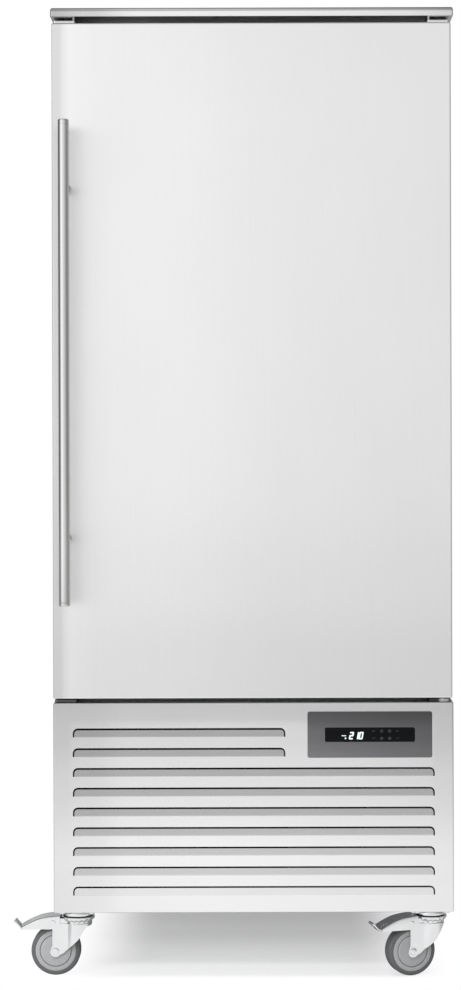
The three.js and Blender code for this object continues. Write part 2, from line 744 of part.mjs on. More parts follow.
/** The hermetic compressor: a domed steel pot, open below inside its foot plate. */
function compressor() {
  const radius = compressorDiameter / 2;
  const foot = chassisFloor + compressorFootThickness;
  const top = chassisFloor + compressorHeight;
  const dome = (r, height, from) => [
    [r, from + compressorCrown], [r, height - compressorShoulder], [r * 0.82, height - compressorCrown],
    [r * 0.4, height], [0, height]];
  const pot = turned('z', [
    [0, foot - 1], [radius - compressorCrown / 2, foot - 1], ...dome(radius, top, foot)]);
  const inside = radius - compressorWall;
  const hollow = turned('z', [
    [0, chassisFloor - 1], [inside - compressorCrown / 2, chassisFloor - 1],
    ...dome(inside, top - compressorWall, foot)]);
  const half = compressorFootSize / 2;
  const plate = prism(
    'z', roundedRectangle([-half, half], [-half, half], compressorFootRadius), chassisFloor, foot);
  const terminals = block(
    [radius - 2 * compressorWall, radius + terminalBox.depth],
    [-terminalBox.width / 2, terminalBox.width / 2],
    [foot + terminalBox.bottom, foot + terminalBox.bottom + terminalBox.height]);
  return cut(join(pot, plate, terminals), hollow).translate([compressorX, compressorY, 0]);
}

function condenserCoil() {
  return finnedBlock(condenserWidth, condenserDepth, [chassisFloor, condenserTop])
    .translate([condenserX, condenserY, 0]);
}

const shroudFront = condenserY + condenserDepth + seat;
const condenserMiddle = (chassisFloor + condenserTop) / 2;
const condenserFanY = shroudFront + shroudDepth - fanDepth / 2;

/** The fan shroud: a shallow box open to the condenser, with a round mouth for the fan. */
function fanShroud() {
  const half = condenserWidth / 2;
  const back = shroudFront + shroudDepth;
  const box = (shrink, y) => block(
    [-half + shrink, half - shrink], y, [chassisFloor + shrink, condenserTop - shrink]);
  const mouth = rod('y', condenserFanRadius + fanClearance, back - shroudSheet - 1, back + 1, fanSides);
  return cut(
    box(0, [shroudFront, back]), box(shroudSheet, [shroudFront - 1, back - shroudSheet]),
    mouth.translate([0, 0, condenserMiddle])).translate([condenserX, 0, 0]);
}

function liquidReceiver() {
  const radius = receiverDiameter / 2;
  const top = chassisFloor + receiverHeight;
  const vessel = turned('z', [
    [0, chassisFloor], [radius * 0.9, chassisFloor], [radius, chassisFloor + receiverCrown / 2],
    [radius, top - receiverCrown], [radius * 0.75, top - receiverCrown / 3], [receiverNeck.radius, top],
    [receiverNeck.radius, top + receiverNeck.height], [0, top + receiverNeck.height]], castorSides);
  const inside = radius - receiverWall;
  const bore = turned('z', [
    [0, chassisFloor - 1], [inside * 0.75, chassisFloor - 1], [inside, chassisFloor + receiverCrown / 2],
    [inside, top - receiverCrown], [0, top - receiverCrown / 2]], castorSides);
  return cut(vessel, bore).translate([receiverX, receiverY, 0]);
}

function evaporatingTray() {
  const box = (shrink, z) => block(
    [trayX - trayWidth / 2 + shrink, trayX + trayWidth / 2 - shrink],
    [trayY - trayDepth / 2 + shrink, trayY + trayDepth / 2 - shrink], z);
  return cut(
    box(0, [chassisFloor, chassisFloor + trayHeight]),
    box(trayWall, [chassisFloor + trayWall, chassisFloor + trayHeight + 1]));
}

// ---------------------------------------------------------------- inside the cabinet

const evaporatorFanY = baffleFront + baffleSheet + fanDepth / 2 + fanMotorGap;

/** The fan baffle: a pan open to the back wall, with a round mouth for each fan. */
function fanBaffle() {
  const half = baffleWidth / 2;
  const box = (shrink, y) => block(
    [-half + shrink, half - shrink], y, [baffleBottom + shrink, baffleTop - shrink]);
  let pan = cut(
    box(0, [baffleFront, baffleBack]), box(baffleSheet, [baffleFront + baffleSheet, baffleBack + 1]));
  for (const height of Object.values(evaporatorFanHeights)) {
    const mouth = rod('y', fanRadius + fanClearance, baffleFront - 1, evaporatorFanY, fanSides);
    pan = pan.subtract(mouth.translate([0, 0, height]));
  }
  return pan;
}

function evaporatorCoil() {
  return finnedBlock(evaporatorWidth, evaporatorDepth,
    [baffleBottom + evaporatorMargin, baffleTop - evaporatorMargin])
    .translate([0, baffleBack - evaporatorDepth, 0]);
}

function probeSocket() {
  const face = baffleFront - seat;
  const radius = probeSocketDiameter / 2;
  return turned('y', [
    [0, face - probeSocketLength], [radius - 5, face - probeSocketLength], [radius - 4, face - 4],
    [radius, face - 3], [radius, face], [0, face],
  ], smallSides).translate([probeSocketX, 0, probeSocketZ]);
}

/** A tray rack: two uprights against the liner's wall, and an angle runner for each level. */
function trayRack(side) {
  const wall = mouthHalf - linerSheet - seat;
  const web = trayPathWidth / 2;
  const bottom = firstLevel - rackOverrun;
  const top = firstLevel + (levelCount - 1) * levelPitch + runnerWeb + rackOverrun;
  const upright = (y) => block([side * web, side * wall], [y, y + uprightWidth], [bottom, top]);
  const ledge = side * (web - runnerLedge);
  const inner = side * (web + runnerSheet);
  const runners = Array.from({ length: levelCount }, (_, i) => {
    const z = firstLevel + i * levelPitch;
    return prism('y', [
      new THREE.Vector2(ledge, z),
      new THREE.Vector2(inner, z),
      new THREE.Vector2(inner, z + runnerWeb),
      new THREE.Vector2(side * web, z + runnerWeb),
      new THREE.Vector2(side * web, z + runnerSheet),
      new THREE.Vector2(ledge, z + runnerSheet),
    ], runnerFront, runnerBack);
  });
  return join(upright(runnerFront), upright(runnerBack - uprightWidth), ...runners);
}

// ---------------------------------------------------------------- door

const doorBack = doorDepth - 2 * sheet - seat; // back edge of the outer pan

/** The holes that the two hinge pins turn in. */
function pinHoles(play) {
  const radius = faceRadius(pinDiameter / 2, roundSides) + play;
  const hole = (from, to) => rod('z', radius, from, to).translate([hingeX, hingeY, 0]);
  return join(hole(doorBottom - 1, doorBottom + pinDepth + 1), hole(doorTop - pinDepth - 1, doorTop + 1));
}

function doorSkin() {
  const pan = pressedPan([doorLeft, doorRight], [doorBottom, doorTop], doorBack, sheet);
  return cut(pan, pinHoles(pinPlay));
}

const bossOutline = (inset) => roundedRectangle(
  [doorLeft + doorBossInset + inset, doorRight - doorBossInset - inset],
  [doorBottom + doorBossInset + inset, doorTop - doorBossInset - inset], mouthRadius);

function doorCore() {
  const edge = sheet + seat;
  const slab = block(
    [doorLeft + edge, doorRight - edge], [edge, doorBack], [doorBottom + edge, doorTop - edge]);
  const boss = prism('y', bossOutline(edge), doorBack - 1, doorDepth + doorBossDepth - edge);
  return cut(join(slab, boss), pinHoles(2 * pinPlay));
}

/** The door's inner pan: a flat rim for the gasket and a raised middle. */
function doorLiner() {
  const front = doorBack + seat;
  const rim = block(
    [doorLeft + sheet, doorRight - sheet], [front, front + sheet], [doorBottom + sheet, doorTop - sheet]);
  const boss = prism('y', bossOutline(0), front, doorDepth + doorBossDepth);
  const hollow = prism('y', bossOutline(sheet), front - 1, doorDepth + doorBossDepth - sheet);
  return cut(join(rim, boss), hollow);
}

/** The magnetic gasket: a ring with a bellows groove round its outer and inner side. */
function doorGasket() {
  const [front, back] = [doorBack + seat + sheet + seat, bodySetback - 2 * seat];
  const ring = (inset, from, to) => prism('y', roundedRectangle(
    [doorLeft + gasketInset + inset, doorRight - gasketInset - inset],
    [doorBottom + gasketInset + inset, doorTop - gasketInset - inset], 0), from, to);
  const third = (back - front) / 3;
  return cut(
    join(ring(0, front, front + third), ring(3, front, back), ring(0, back - third, back)),
    ring(gasketWidth, front - 1, back + 1));
}

const handleX = doorLeft + handleEdgeDistance;

function handleBar() {
  const radius = handleDiameter / 2;
  const half = handleLength / 2;
  return turned('z', [
    [0, -half], [radius - handleChamfer, -half], [radius, -half + handleChamfer],
    [radius, half - handleChamfer], [radius - handleChamfer, half], [0, half],
  ]).translate([handleX, -handleStandOff, handleMiddle]);
}

/** A handle post: a foot on the door, and a stem whose end is hollowed to seat the bar. */
function handlePost(side) {
  const stem = handlePostDiameter / 2;
  const foot = handleFootDiameter / 2;
  const post = turned('y', [
    [0, -handleStandOff], [stem, -handleStandOff], [stem, -handleFootHeight - seat - 2],
    [foot, -handleFootHeight - seat], [foot, -seat], [0, -seat],
  ], smallSides);
  const bar = rod('z', faceRadius(handleDiameter / 2 + seat, roundSides), -2 * foot, 2 * foot)
    .translate([0, -handleStandOff, 0]);
  const height = handleMiddle + side * (handleLength / 2 - handlePostDistance);
  return cut(post, bar, block([-foot, foot], [-2 * handleStandOff, -handleStandOff], [-foot, foot]))
    .translate([handleX, 0, height]);
}

// ---------------------------------------------------------------- hinges

const upperPlate = doorTop + bracketPlay;
const lowerPlate = baseTop + seat;

/** A bracket on the cabinet's front: a plate that reaches out over or under the door, and a leg. */
function bracket(side, plateBottom, legDirection) {
  const outer = (side > 0 ? doorRight : doorLeft) - side * bracketInset;
  const inner = outer - side * bracketWidth;
  const front = hingeY - bracketReach;
  const back = bodySetback - seat;
  const plateTop = plateBottom + bracketThickness;
  const plate = prism('z', roundedRectangle(
    [Math.min(outer, inner), Math.max(outer, inner)], [front, back], bracketRadius, 0),
  plateBottom, plateTop);
  const [legFrom, legTo] = legDirection > 0
    ? [plateBottom, plateBottom + bracketLegHeight]
    : [plateTop - bracketLegHeight, plateTop];
  const leg = block(
    [outer - side * bracketLegWidth, outer], [back - bracketThickness, back], [legFrom, legTo]);
  if (legDirection > 0) return join(plate, leg);
  const screw = rod('z', stopScrewDiameter / 2, plateBottom + 1, capBottom - seat, smallSides)
    .translate([inner + side * stopScrewInset, front + stopScrewInset, 0]);
  return join(plate, leg, screw);
}

/** A hinge: the bracket and the pin that goes into the door. */
function hinge(plateBottom, direction) {
  const [from, to] = direction > 0
    ? [plateBottom + bracketThickness - 1, doorBottom + pinDepth]
    : [doorTop - pinDepth, plateBottom + 1];
  const pin = rod('z', faceRadius(pinDiameter / 2, roundSides), from, to);
  return join(bracket(1, plateBottom, direction), pin.translate([hingeX, hingeY, 0]));
}

// ---------------------------------------------------------------- castors
// Each castor is drawn about its swivel axis, trailing towards -X, with its floor at z = 0.

const axleZ = wheelRadius;
const forkHalf = forkGap / 2 + forkSheet; // outside of a leg
const crownUnderside = crownHeight - crownThickness;

/** A point of the castor given from the axle. */
const fromAxle = (x, z) => new THREE.Vector2(x - castorTrail, z + axleZ);
const pivot = fromAxle(pedalPivotX, pedalPivotZ);

/** The top plate, the cup of the swivel race under it, and the kingpin that holds the fork. */
function castorPlate() {
  const top = castorHeight - seat;
  const underside = top - castorPlateThickness;
  const plate = prism('z', roundedRectangle(
    [-castorPlateWidth / 2, castorPlateWidth / 2], [-castorPlateLength / 2, castorPlateLength / 2],
    castorPlateRadius), underside, top);
  const cupBottom = underside - cupHeight;
  const head = crownUnderside - seat;
  const cup = turned('z', [
    [0, underside + 1], [cupFootDiameter / 2, underside + 1], [cupFootDiameter / 2, underside],
    [cupDiameter / 2, cupBottom + cupLip], [cupDiameter / 2 - 1, cupBottom],
    [kingpinDiameter / 2, cupBottom], [kingpinDiameter / 2, head],
    [kingpinHeadDiameter / 2, head], [kingpinHeadDiameter / 2 - 2, head - kingpinHeadThickness],
    [0, head - kingpinHeadThickness],
  ], castorSides);
  return join(plate, cup);
}

/** The fork's side view: a lobe round the axle, a swept trailing edge, the crown and the pedal ear. */
function forkOutline() {
  const lobe = arc(-castorTrail, axleZ - 1, forkLobeRadius, 140, 318, 6);
  const sweep = new THREE.SplineCurve(forkBack.map(([x, z]) => fromAxle(x, z)));
  const half = headDiameter / 2;
  const crown = [new THREE.Vector2(half, crownUnderside + 2), new THREE.Vector2(half, crownUnderside + 4)];
  const ear = arc(pivot.x, pivot.y, pedalEarRadius, 70, 200, 3);
  return [...lobe, ...sweep.getPoints(5), ...crown, ...ear, fromAxle(-6, 44), fromAxle(-6, 12)];
}

/** The pressed fork with its axle bolt: two legs, a web behind the wheel and a flared round head. */
function castorFork() {
  const outline = forkOutline();
  const legs = prism('y', outline, -forkHalf, forkHalf);
  const crown = turned('z', [
    [0, crownUnderside], [headDiameter / 2, crownUnderside], [headDiameter / 2, crownUnderside + 7],
    [headDiameter / 2 - 3, crownHeight], [raceDiameter / 2, crownHeight],
    [raceDiameter / 2, crownHeight + 4], [0, crownHeight + 4],
  ], castorSides);
  const flare = turned('z', [
    [0, headFootHeight], [headFootDiameter / 2, headFootHeight],
    [headDiameter / 2 - 1, crownUnderside + 1], [0, crownUnderside + 1],
  ], castorSides);
  const flaredHead = flare.intersect(prism('y', outline, -headDiameter, headDiameter));
  const [, lowBack, , highBack] = forkBack.map(([x, z]) => fromAxle(x - forkSheet, z - forkSheet));
  const inner = [
    fromAxle(-20, -20), fromAxle(12, -9), lowBack, highBack,
    new THREE.Vector2(headDiameter / 2 - forkSheet, crownUnderside),
    fromAxle(-20, crownUnderside - axleZ)];
  const gap = forkGap / 2;
  const low = axleZ - forkLobeRadius - 5;
  const slot = join(
    prism('y', inner, -gap, gap),
    block([-castorTrail - wheelRadius, -castorTrail + 12], [-gap, gap], [low, crownUnderside]),
    rod('y', wheelRadius + forkWheelClearance, -gap, gap, roundSides).translate([-castorTrail, 0, axleZ]));
  const slotBelowCrown = slot.intersect(
    block([-3 * wheelRadius, 3 * wheelRadius], [-gap, gap], [0, crownUnderside]));
  const earSlot = block(
    [-castorTrail - wheelRadius, 2 - headDiameter / 2], [-gap, gap], [crownUnderside - 1, crownHeight]);
  const kingpin = rod('z', kingpinDiameter / 2 + pinPlay, 0, castorHeight, castorSides);
  const pedalHole = rod(
    'y', pedalPinDiameter / 2 + pedalPlay, -2 * forkHalf, 2 * forkHalf, smallSides);
  const body = cut(
    join(cut(legs, earSlot), flaredHead, crown), slotBelowCrown, kingpin,
    pedalHole.translate([pivot.x, 0, pivot.y]));
  const head = axleHeadDiameter / 2;
  const end = forkHalf + axleHeadThickness;
  const bolt = turned('y', [
    [0, -end], [head, -end], [head, 1 - forkHalf], [axleDiameter / 2, 1 - forkHalf],
    [axleDiameter / 2, forkHalf - 1], [head, forkHalf - 1], [head, end], [0, end],
  ], smallSides);
  return join(body, bolt.translate([-castorTrail, 0, axleZ]));
}

/** The tyre, flat on the floor: its facets are drawn round the rolling circle. */
function castorTyre() {
  const half = tyreWidth / 2;
  const outer = faceRadius(wheelRadius, wheelSides);
  const inner = faceRadius(tyreBore / 2, wheelSides);
  return turned('y', [
    [inner, -half], [outer - tyreShoulder, -half], [outer, -half + tyreShoulder],
    [outer, half - tyreShoulder], [outer - tyreShoulder, half], [inner, half], [inner, -half],
  ], wheelSides);
}

/** The hub: the rim under the tyre, a groove, and a thread guard round the axle on each side. */
function castorHub() {
  const rim = tyreBore / 2 - seat;
  const half = hubWidth / 2;
  const bore = axleDiameter / 2 + axlePlay;
  const guard = guardDiameter / 2;
  const groove = half - guardDepth;
  const outside = (sign) => [
    [bore, sign * half], [guard, sign * half], [guard, sign * groove], [rim, sign * groove]];
  return turned('y', [
    ...outside(-1), ...outside(1).reverse(), [bore, -half],
  ], hubSides);
}

/** The brake pedal: an arched channel over the fork, a thick folded toe lip, a pad and the rivet. */
function brakePedal() {
  const arch = new THREE.SplineCurve([
    fromAxle(11, 72.5), fromAxle(-10, 71), fromAxle(-30, 67.6), fromAxle(-47, 61.3), fromAxle(-70.5, 49.2),
  ]).getPoints(6);
  const lower = [fromAxle(-70.5, 47), fromAxle(-62, 45.3), fromAxle(-6, 45.3), fromAxle(5, 50)];
  const outside = [...arch, ...lower, fromAxle(11, 60)];
  const underArch = arch.map((point) => new THREE.Vector2(point.x, point.y - pedalSheet));
  const beyond = [fromAxle(-80, 44), fromAxle(-80, 20), fromAxle(20, 20), fromAxle(20, 70.5)];
  const innerHalf = forkHalf + pedalPlay;
  const outerHalf = innerHalf + pedalSheet;
  const channel = cut(
    prism('y', outside, -outerHalf, outerHalf),
    prism('y', [...underArch, ...beyond], -innerHalf, innerHalf));
  const lipDirection = new THREE.Vector2(-17.3, 18.1).normalize();
  const lipSide = new THREE.Vector2(lipDirection.y, -lipDirection.x).multiplyScalar(pedalLipThickness / 2);
  const lipStart = fromAxle(-70, 44.8);
  const lipEnd = lipStart.clone().addScaledVector(lipDirection, pedalLipLength);
  const facing = THREE.MathUtils.radToDeg(lipDirection.angle());
  const lip = prism('y', [
    lipStart.clone().add(lipSide),
    ...arc(lipEnd.x, lipEnd.y, pedalLipThickness / 2, facing - 90, facing + 90, 4),
    lipStart.clone().sub(lipSide),
  ], 1 - outerHalf, outerHalf - 1);
  const shoeTop = fromAxle(shoeStart, 68);
  const shoe = block([shoeTop.x, fromAxle(shoeEnd, 0).x], [-shoeWidth / 2, shoeWidth / 2],
    [axleZ + shoeBottom, shoeTop.y]);
  const head = outerHalf + pedalRivetHead;
  const pin = pedalPinDiameter / 2;
  const cap = pedalRivetDiameter / 2;
  const rivet = turned('y', [
    [0, -head], [cap - 1.5, -head], [cap, -outerHalf - 0.5], [cap, 0.5 - outerHalf], [pin, 0.5 - outerHalf],
    [pin, outerHalf - 0.5], [cap, outerHalf - 0.5], [cap, outerHalf + 0.5], [cap - 1.5, head], [0, head],
  ], smallSides);
  return join(channel, lip, shoe, rivet.translate([pivot.x, 0, pivot.y]));
}

/** One castor as a group on its swivel axis, with the fork, wheel and pedal turned to its angle. */
function castor({ name, x, y, swivel, braked }) {
  const group = new THREE.Group();
  group.position.set(x * castorAxisX, y, 0);
  place(group, `${name}_castor_plate`, castorPlate(), zinc);
  const turning = new THREE.Group();
  turning.rotation.z = THREE.MathUtils.degToRad(swivel);
  group.add(turning);
  place(turning, `${name}_castor_fork`, castorFork(), zinc);
  if (braked) place(turning, `${name}_brake_pedal`, brakePedal(), zinc);
  const wheel = new THREE.Group();
  wheel.position.set(-castorTrail, 0, axleZ);
  turning.add(wheel);
  place(wheel, `${name}_tyre`, castorTyre(), tyreRubber);
  place(wheel, `${name}_hub`, castorHub(), greyPlastic);
  return group;
}

// ---------------------------------------------------------------- assembly

const chiller = new THREE.Group();

const cabinet = new THREE.Group();
place(cabinet, 'side_panel_left', sidePanel(-1), stainless);
place(cabinet, 'side_panel_right', sidePanel(1), stainless);
place(cabinet, 'top_cap', topCap(), stainless);
place(cabinet, 'back_panel', backPanel(), stainless);
place(cabinet, 'cabinet_insulation', cabinetInsulation(), foam);
place(cabinet, 'inner_liner', innerLiner(), innerStainless);
place(cabinet, 'front_frame', frontFrame(), breakerPlastic);
place(cabinet, 'fan_baffle', fanBaffle(), innerStainless);
place(cabinet, 'evaporator_coil', evaporatorCoil(), aluminium);
place(cabinet, 'tray_rack_left', trayRack(-1), innerStainless);
place(cabinet, 'tray_rack_right', trayRack(1), innerStainless);
place(cabinet, 'probe_socket', probeSocket(), blackPaint);
place(cabinet, 'hinge_upper', hinge(upperPlate, -1), polished);
place(cabinet, 'hinge_lower', hinge(lowerPlate, 1), polished);
// The same brackets without a pin, where the hinges go when the door is hung the other way.
place(cabinet, 'blank_bracket_upper', bracket(-1, upperPlate, -1), polished);
place(cabinet, 'blank_bracket_lower', bracket(-1, lowerPlate, 1), polished);

const base = new THREE.Group();
place(base, 'compartment_deck', compartmentDeck(), galvanised);
place(base, 'base_chassis', baseChassis(), galvanised);
place(base, 'louvred_front_panel', louvredPanel(), stainless);
place(base, 'rear_grille', rearGrille(), galvanised);
place(base, 'control_bezel', controlBezel(), darkMetal);
place(base, 'display_window', displayWindow(), glass);
place(base, 'control_box', controlBox(), greyPlastic);
place(base, 'cable_gland', cableGland(), blackPaint);
place(base, 'compressor', compressor(), blackPaint);
place(base, 'condenser_coil', condenserCoil(), aluminium);
place(base, 'fan_shroud', fanShroud(), galvanised);
place(base, 'liquid_receiver', liquidReceiver(), blackPaint);
place(base, 'evaporating_tray', evaporatingTray(), greyPlastic);

/** A fan and its motor on one axis. */
function fanUnit(name, position, radius, footReach) {
  const unit = new THREE.Group();
  unit.position.copy(position);
  place(unit, `${name}_fan`, axialFan(radius), aluminium);
  const barLength = 2 * (radius + fanClearance + motorArmInset);
  place(unit, `${name}_fan_motor`, fanMotor(barLength, footReach), blackPaint);
  return unit;
}

const fanMiddle = new THREE.Vector3(condenserX, condenserFanY, condenserMiddle);
base.add(fanUnit('condenser', fanMiddle, condenserFanRadius, -fanDepth / 2 - seat));
for (const [name, height] of Object.entries(evaporatorFanHeights)) {
  const middle = new THREE.Vector3(0, evaporatorFanY, height);
  cabinet.add(fanUnit(`evaporator_${name}`, middle, fanRadius, fanDepth / 2 + fanMotorGap - seat));
}

const door = new THREE.Group();
place(door, 'door_skin', doorSkin(), stainless);
place(door, 'door_core', doorCore(), foam);
place(door, 'door_liner', doorLiner(), innerStainless);
place(door, 'door_gasket', doorGasket(), gasketRubber);
place(door, 'handle_bar', handleBar(), polished);
place(door, 'handle_post_upper', handlePost(1), polished);
place(door, 'handle_post_lower', handlePost(-1), polished);

chiller.add(cabinet, base, door, ...castors.map(castor));

// The origin is the middle of the floor area that the whole object covers.
chiller.updateMatrixWorld(true);
const bounds = new THREE.Box3().setFromObject(chiller, true);
const middle = bounds.getCenter(new THREE.Vector3());
chiller.position.set(-middle.x, -middle.y, -bounds.min.z);

export default chiller;
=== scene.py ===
# %% [markdown]
# # An upright blast chiller, dressed for its studio photograph
#
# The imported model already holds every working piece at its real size. This lesson dresses it: it
# gives each surface its finish, replaces the faceted round pieces by smooth ones, adds the small
# things that a maker fits last, and lights it all as the photograph does.
#
# The first cell loads the model. Its pieces never move. What is added here takes its size and place
# from them, so the looks and the mechanism stay one object.

# %% Load the fixed frame
import math

import bmesh
import bpy
import numpy as np
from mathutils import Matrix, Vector, geometry


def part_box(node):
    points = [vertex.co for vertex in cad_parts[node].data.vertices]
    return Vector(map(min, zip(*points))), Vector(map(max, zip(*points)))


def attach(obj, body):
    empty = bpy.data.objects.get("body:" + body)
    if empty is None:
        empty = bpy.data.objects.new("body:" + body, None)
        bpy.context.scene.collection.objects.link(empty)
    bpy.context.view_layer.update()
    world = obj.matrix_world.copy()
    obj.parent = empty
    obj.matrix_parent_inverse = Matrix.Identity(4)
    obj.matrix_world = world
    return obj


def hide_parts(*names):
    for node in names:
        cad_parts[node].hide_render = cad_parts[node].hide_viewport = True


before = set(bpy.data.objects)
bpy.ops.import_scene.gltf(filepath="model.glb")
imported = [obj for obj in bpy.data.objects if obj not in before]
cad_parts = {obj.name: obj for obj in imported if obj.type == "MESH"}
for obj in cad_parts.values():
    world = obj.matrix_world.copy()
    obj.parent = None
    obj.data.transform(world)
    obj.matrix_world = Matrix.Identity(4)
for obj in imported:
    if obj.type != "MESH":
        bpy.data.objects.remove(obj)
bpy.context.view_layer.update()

# %% [markdown]
# ## The drawing space
#
# Everything below is drawn in millimetres about the cabinet itself: x runs from its middle to the
# right, y from the front of the door to the back, and z up from the floor. A drawing is turned into
# metres and moved to its place only when a mesh is made, so each finished object can sit unturned at
# the origin with its place in its mesh.

# %% Millimetres about the cabinet
MM = 0.001
cabinet_zero = np.array([
    (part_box("side_panel_left")[0].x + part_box("side_panel_right")[1].x) / 2,
    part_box("louvred_front_panel")[0].y,
    0.0,
])


def to_frame(points):
    """Points in millimetres about the cabinet, as metres in the model's own space."""
    return np.asarray(points, float) * MM + cabinet_zero


def cad_box(node):
    """Lowest and highest corner of a piece of the model, in millimetres about the cabinet."""
    low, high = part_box(node)
    return (np.array(low) - cabinet_zero) / MM, (np.array(high) - cabinet_zero) / MM


door_low, door_high = cad_box("door_skin")
base_low, base_high = cad_box("louvred_front_panel")
print("door", np.round(door_low, 1), np.round(door_high, 1))

# %% [markdown]
# ## Surfaces from numbers
#
# A surface here is a grid of points: rows along one parameter, columns along the other. Numpy works
# out the whole grid at once, and the quads between neighbours are found from the grid's indices in
# the same way. A *part* is a pair of such points and faces, and several parts can share one mesh.


# %% Grids, and parts made from them
def grid(points, wrap_rows=False, wrap_columns=False, caps=False):
    """A part from an array of shape (rows, columns, 3). Caps close the first and the last row."""
    rows, columns = points.shape[:2]
    index = np.arange(rows * columns).reshape(rows, columns)
    if wrap_rows:
        index = np.vstack([index, index[:1]])
    if wrap_columns:
        index = np.hstack([index, index[:, :1]])
    corners = [index[:-1, :-1], index[1:, :-1], index[1:, 1:], index[:-1, 1:]]
    faces = np.stack(corners, axis=-1).reshape(-1, 4).tolist()
    if caps:
        flat = np.arange(rows * columns).reshape(rows, columns)
        faces += [flat[0].tolist(), flat[-1][::-1].tolist()]
    return points.reshape(-1, 3), faces


def together(*parts):
    """Several parts as one: the faces of each count on from the points before them."""
    points, faces, start = [], [], 0
    for part_points, part_faces in parts:
        points.append(part_points)
        faces += [[start + i for i in face] for face in part_faces]
        start += len(part_points)
    return np.vstack(points), faces


def moved(part, change):
    """A part whose points a function has turned or moved."""
    return change(part[0]), part[1]


# %% [markdown]
# Three ways of filling the grid cover nearly every piece of a machine that is folded, turned and
# drawn from sheet and bar: a profile turned about an axis, an outline that changes from ring to
# ring, and a round section carried along a path.


# %% Turned, ringed and drawn forms
AXES = {"x": (1, 2, 0), "y": (0, 2, 1), "z": (0, 1, 2)}  # drawing right, drawing up, along
TIGHTEST = 0.02  # millimetres: the radius of a corner that counts as square


def lay(across, up, along, axis):
    """Drawing coordinates as points in space: along is measured on the named axis."""
    right, top, depth = AXES[axis]
    points = np.zeros(np.broadcast(across, up, along).shape + (3,))
    points[..., right], points[..., top], points[..., depth] = across, up, along
    return points


def turned(profile, axis, centre=(0, 0, 0), sides=64):
    """A profile of (radius, height) pairs turned about an axis through centre.

    Point (row, column) is centre + radius * (cos angle, sin angle) across the axis + height along it.
    """
    profile = np.asarray(profile, float)
    angle = np.linspace(0, 2 * np.pi, sides, endpoint=False)
    radius, height = profile[:, :1], profile[:, 1:]
    points = lay(radius * np.cos(angle), radius * np.sin(angle), height + 0 * angle, axis)
    return grid(points + np.asarray(centre, float), wrap_columns=True)


def rounded(x, y, radius, steps=8):
    """A rectangle's outline with round corners, as (points, 2): x and y are (low, high) pairs.

    Each corner is a quarter circle of its own radius, from the lower left one round to the right.
    """
    radii = np.broadcast_to(np.maximum(radius, TIGHTEST), 4)
    centres = [(x[0], y[0], 1, 1), (x[1], y[0], -1, 1), (x[1], y[1], -1, -1), (x[0], y[1], 1, -1)]
    outline = []
    for i, (cx, cy, sx, sy) in enumerate(centres):
        angle = np.radians(180 + 90 * i) + np.linspace(0, np.pi / 2, steps + 1)
        r = radii[i]
        right, up = cx + sx * r + r * np.cos(angle), cy + sy * r + r * np.sin(angle)
        outline.append(np.column_stack([right, up]))
    return np.vstack(outline)


def drawn_in(x, y, by, radius, steps=8):
    """A rounded rectangle whose sides are drawn in by a distance, or let out where it is negative."""
    return rounded((x[0] + by, x[1] - by), (y[0] + by, y[1] - by), radius, steps)


def two_sided(half):
    """A list of (radius, height) pairs, followed by its mirror image at the negative heights."""
    return half + [(r, -h) for r, h in half[::-1]]


def stacked(outlines, heights, axis):
    """Outlines of equal length laid at their heights along an axis, as the rows of one grid."""
    return np.stack([lay(o[:, 0], o[:, 1], h, axis) for o, h in zip(outlines, heights)])


def rings(outlines, heights, axis):
    """Stacked outlines as a part, closed by a flat face at both ends."""
    return grid(stacked(outlines, heights, axis), wrap_columns=True, caps=True)


def prism(outline, heights, axis):
    """An outline carried straight along an axis between two heights."""
    return rings([np.asarray(outline, float)] * 2, heights, axis)


def along(path, radius, sides=16):
    """A round section carried along a path: the ring at each point stands square to the path."""
    path = np.asarray(path, float)
    ahead = np.gradient(path, axis=0)
    ahead /= np.linalg.norm(ahead, axis=1, keepdims=True)
    helper = np.eye(3)[np.argmin(np.abs(ahead).max(axis=0))]
    side = np.cross(ahead, helper)
    side /= np.linalg.norm(side, axis=1, keepdims=True)
    up = np.cross(side, ahead)
    angle = np.linspace(0, 2 * np.pi, sides, endpoint=False)[None, :, None]
    points = path[:, None] + radius * (np.cos(angle) * side[:, None] + np.sin(angle) * up[:, None])
    return grid(points, wrap_columns=True, caps=True)


# %% [markdown]
# A pressed pan, such as the door's front or the louvred panel, is a thin shell. It could be a box
# with a Bevel and a Solidify, but its fold would then follow from the modifiers and not from a size.
# Here its rings start in the middle of the inner face, run out to the wall, over the wall's edge, and
# back round the folded corner to the outer face. Both ends of the stack are flat, so the shell is
# closed. A narrow flat ring lies inside each fold, so that smooth shading stays in the fold and the
# large face stays flat. Holes are triangulated between their outlines, which a grid can't do.


# %% A pressed pan
CHAMFER = 0.25  # millimetres, on the front edge of a hole
FLAT_RING = 1  # millimetres, inside each fold
SOFT_CORNER = 0.3  # millimetres that every ring's corner has besides its fold
SAME_POINT = 1e-7
INSIDE = 1  # the triangulation's mode that fills only what lies inside the outlines


def pierced(edge, holes, y):
    """A flat face at y inside a convex edge, less convex holes, triangulated between the outlines.

    A triangle whose corners all lie on one hole's outline is inside that hole, and is left out.
    """
    loops = [edge, *holes]
    points = np.vstack(loops)
    owner = np.repeat(np.arange(len(loops)), [len(loop) for loop in loops])
    starts = np.cumsum([0] + [len(loop) for loop in loops[:-1]])
    sides = []
    for start, loop in zip(starts, loops):
        index = np.arange(len(loop))
        sides += np.column_stack([start + index, start + (index + 1) % len(loop)]).tolist()
    found = geometry.delaunay_2d_cdt([Vector(p) for p in points], sides, [], INSIDE, SAME_POINT)
    first = [origin[0] for origin in found[3]]
    faces = [[first[i] for i in face] for face in found[2]]
    kept = [face for face in faces if len(set(owner[face])) > 1 or owner[face[0]] == 0]
    return lay(points[:, 0], points[:, 1], y, "y"), kept


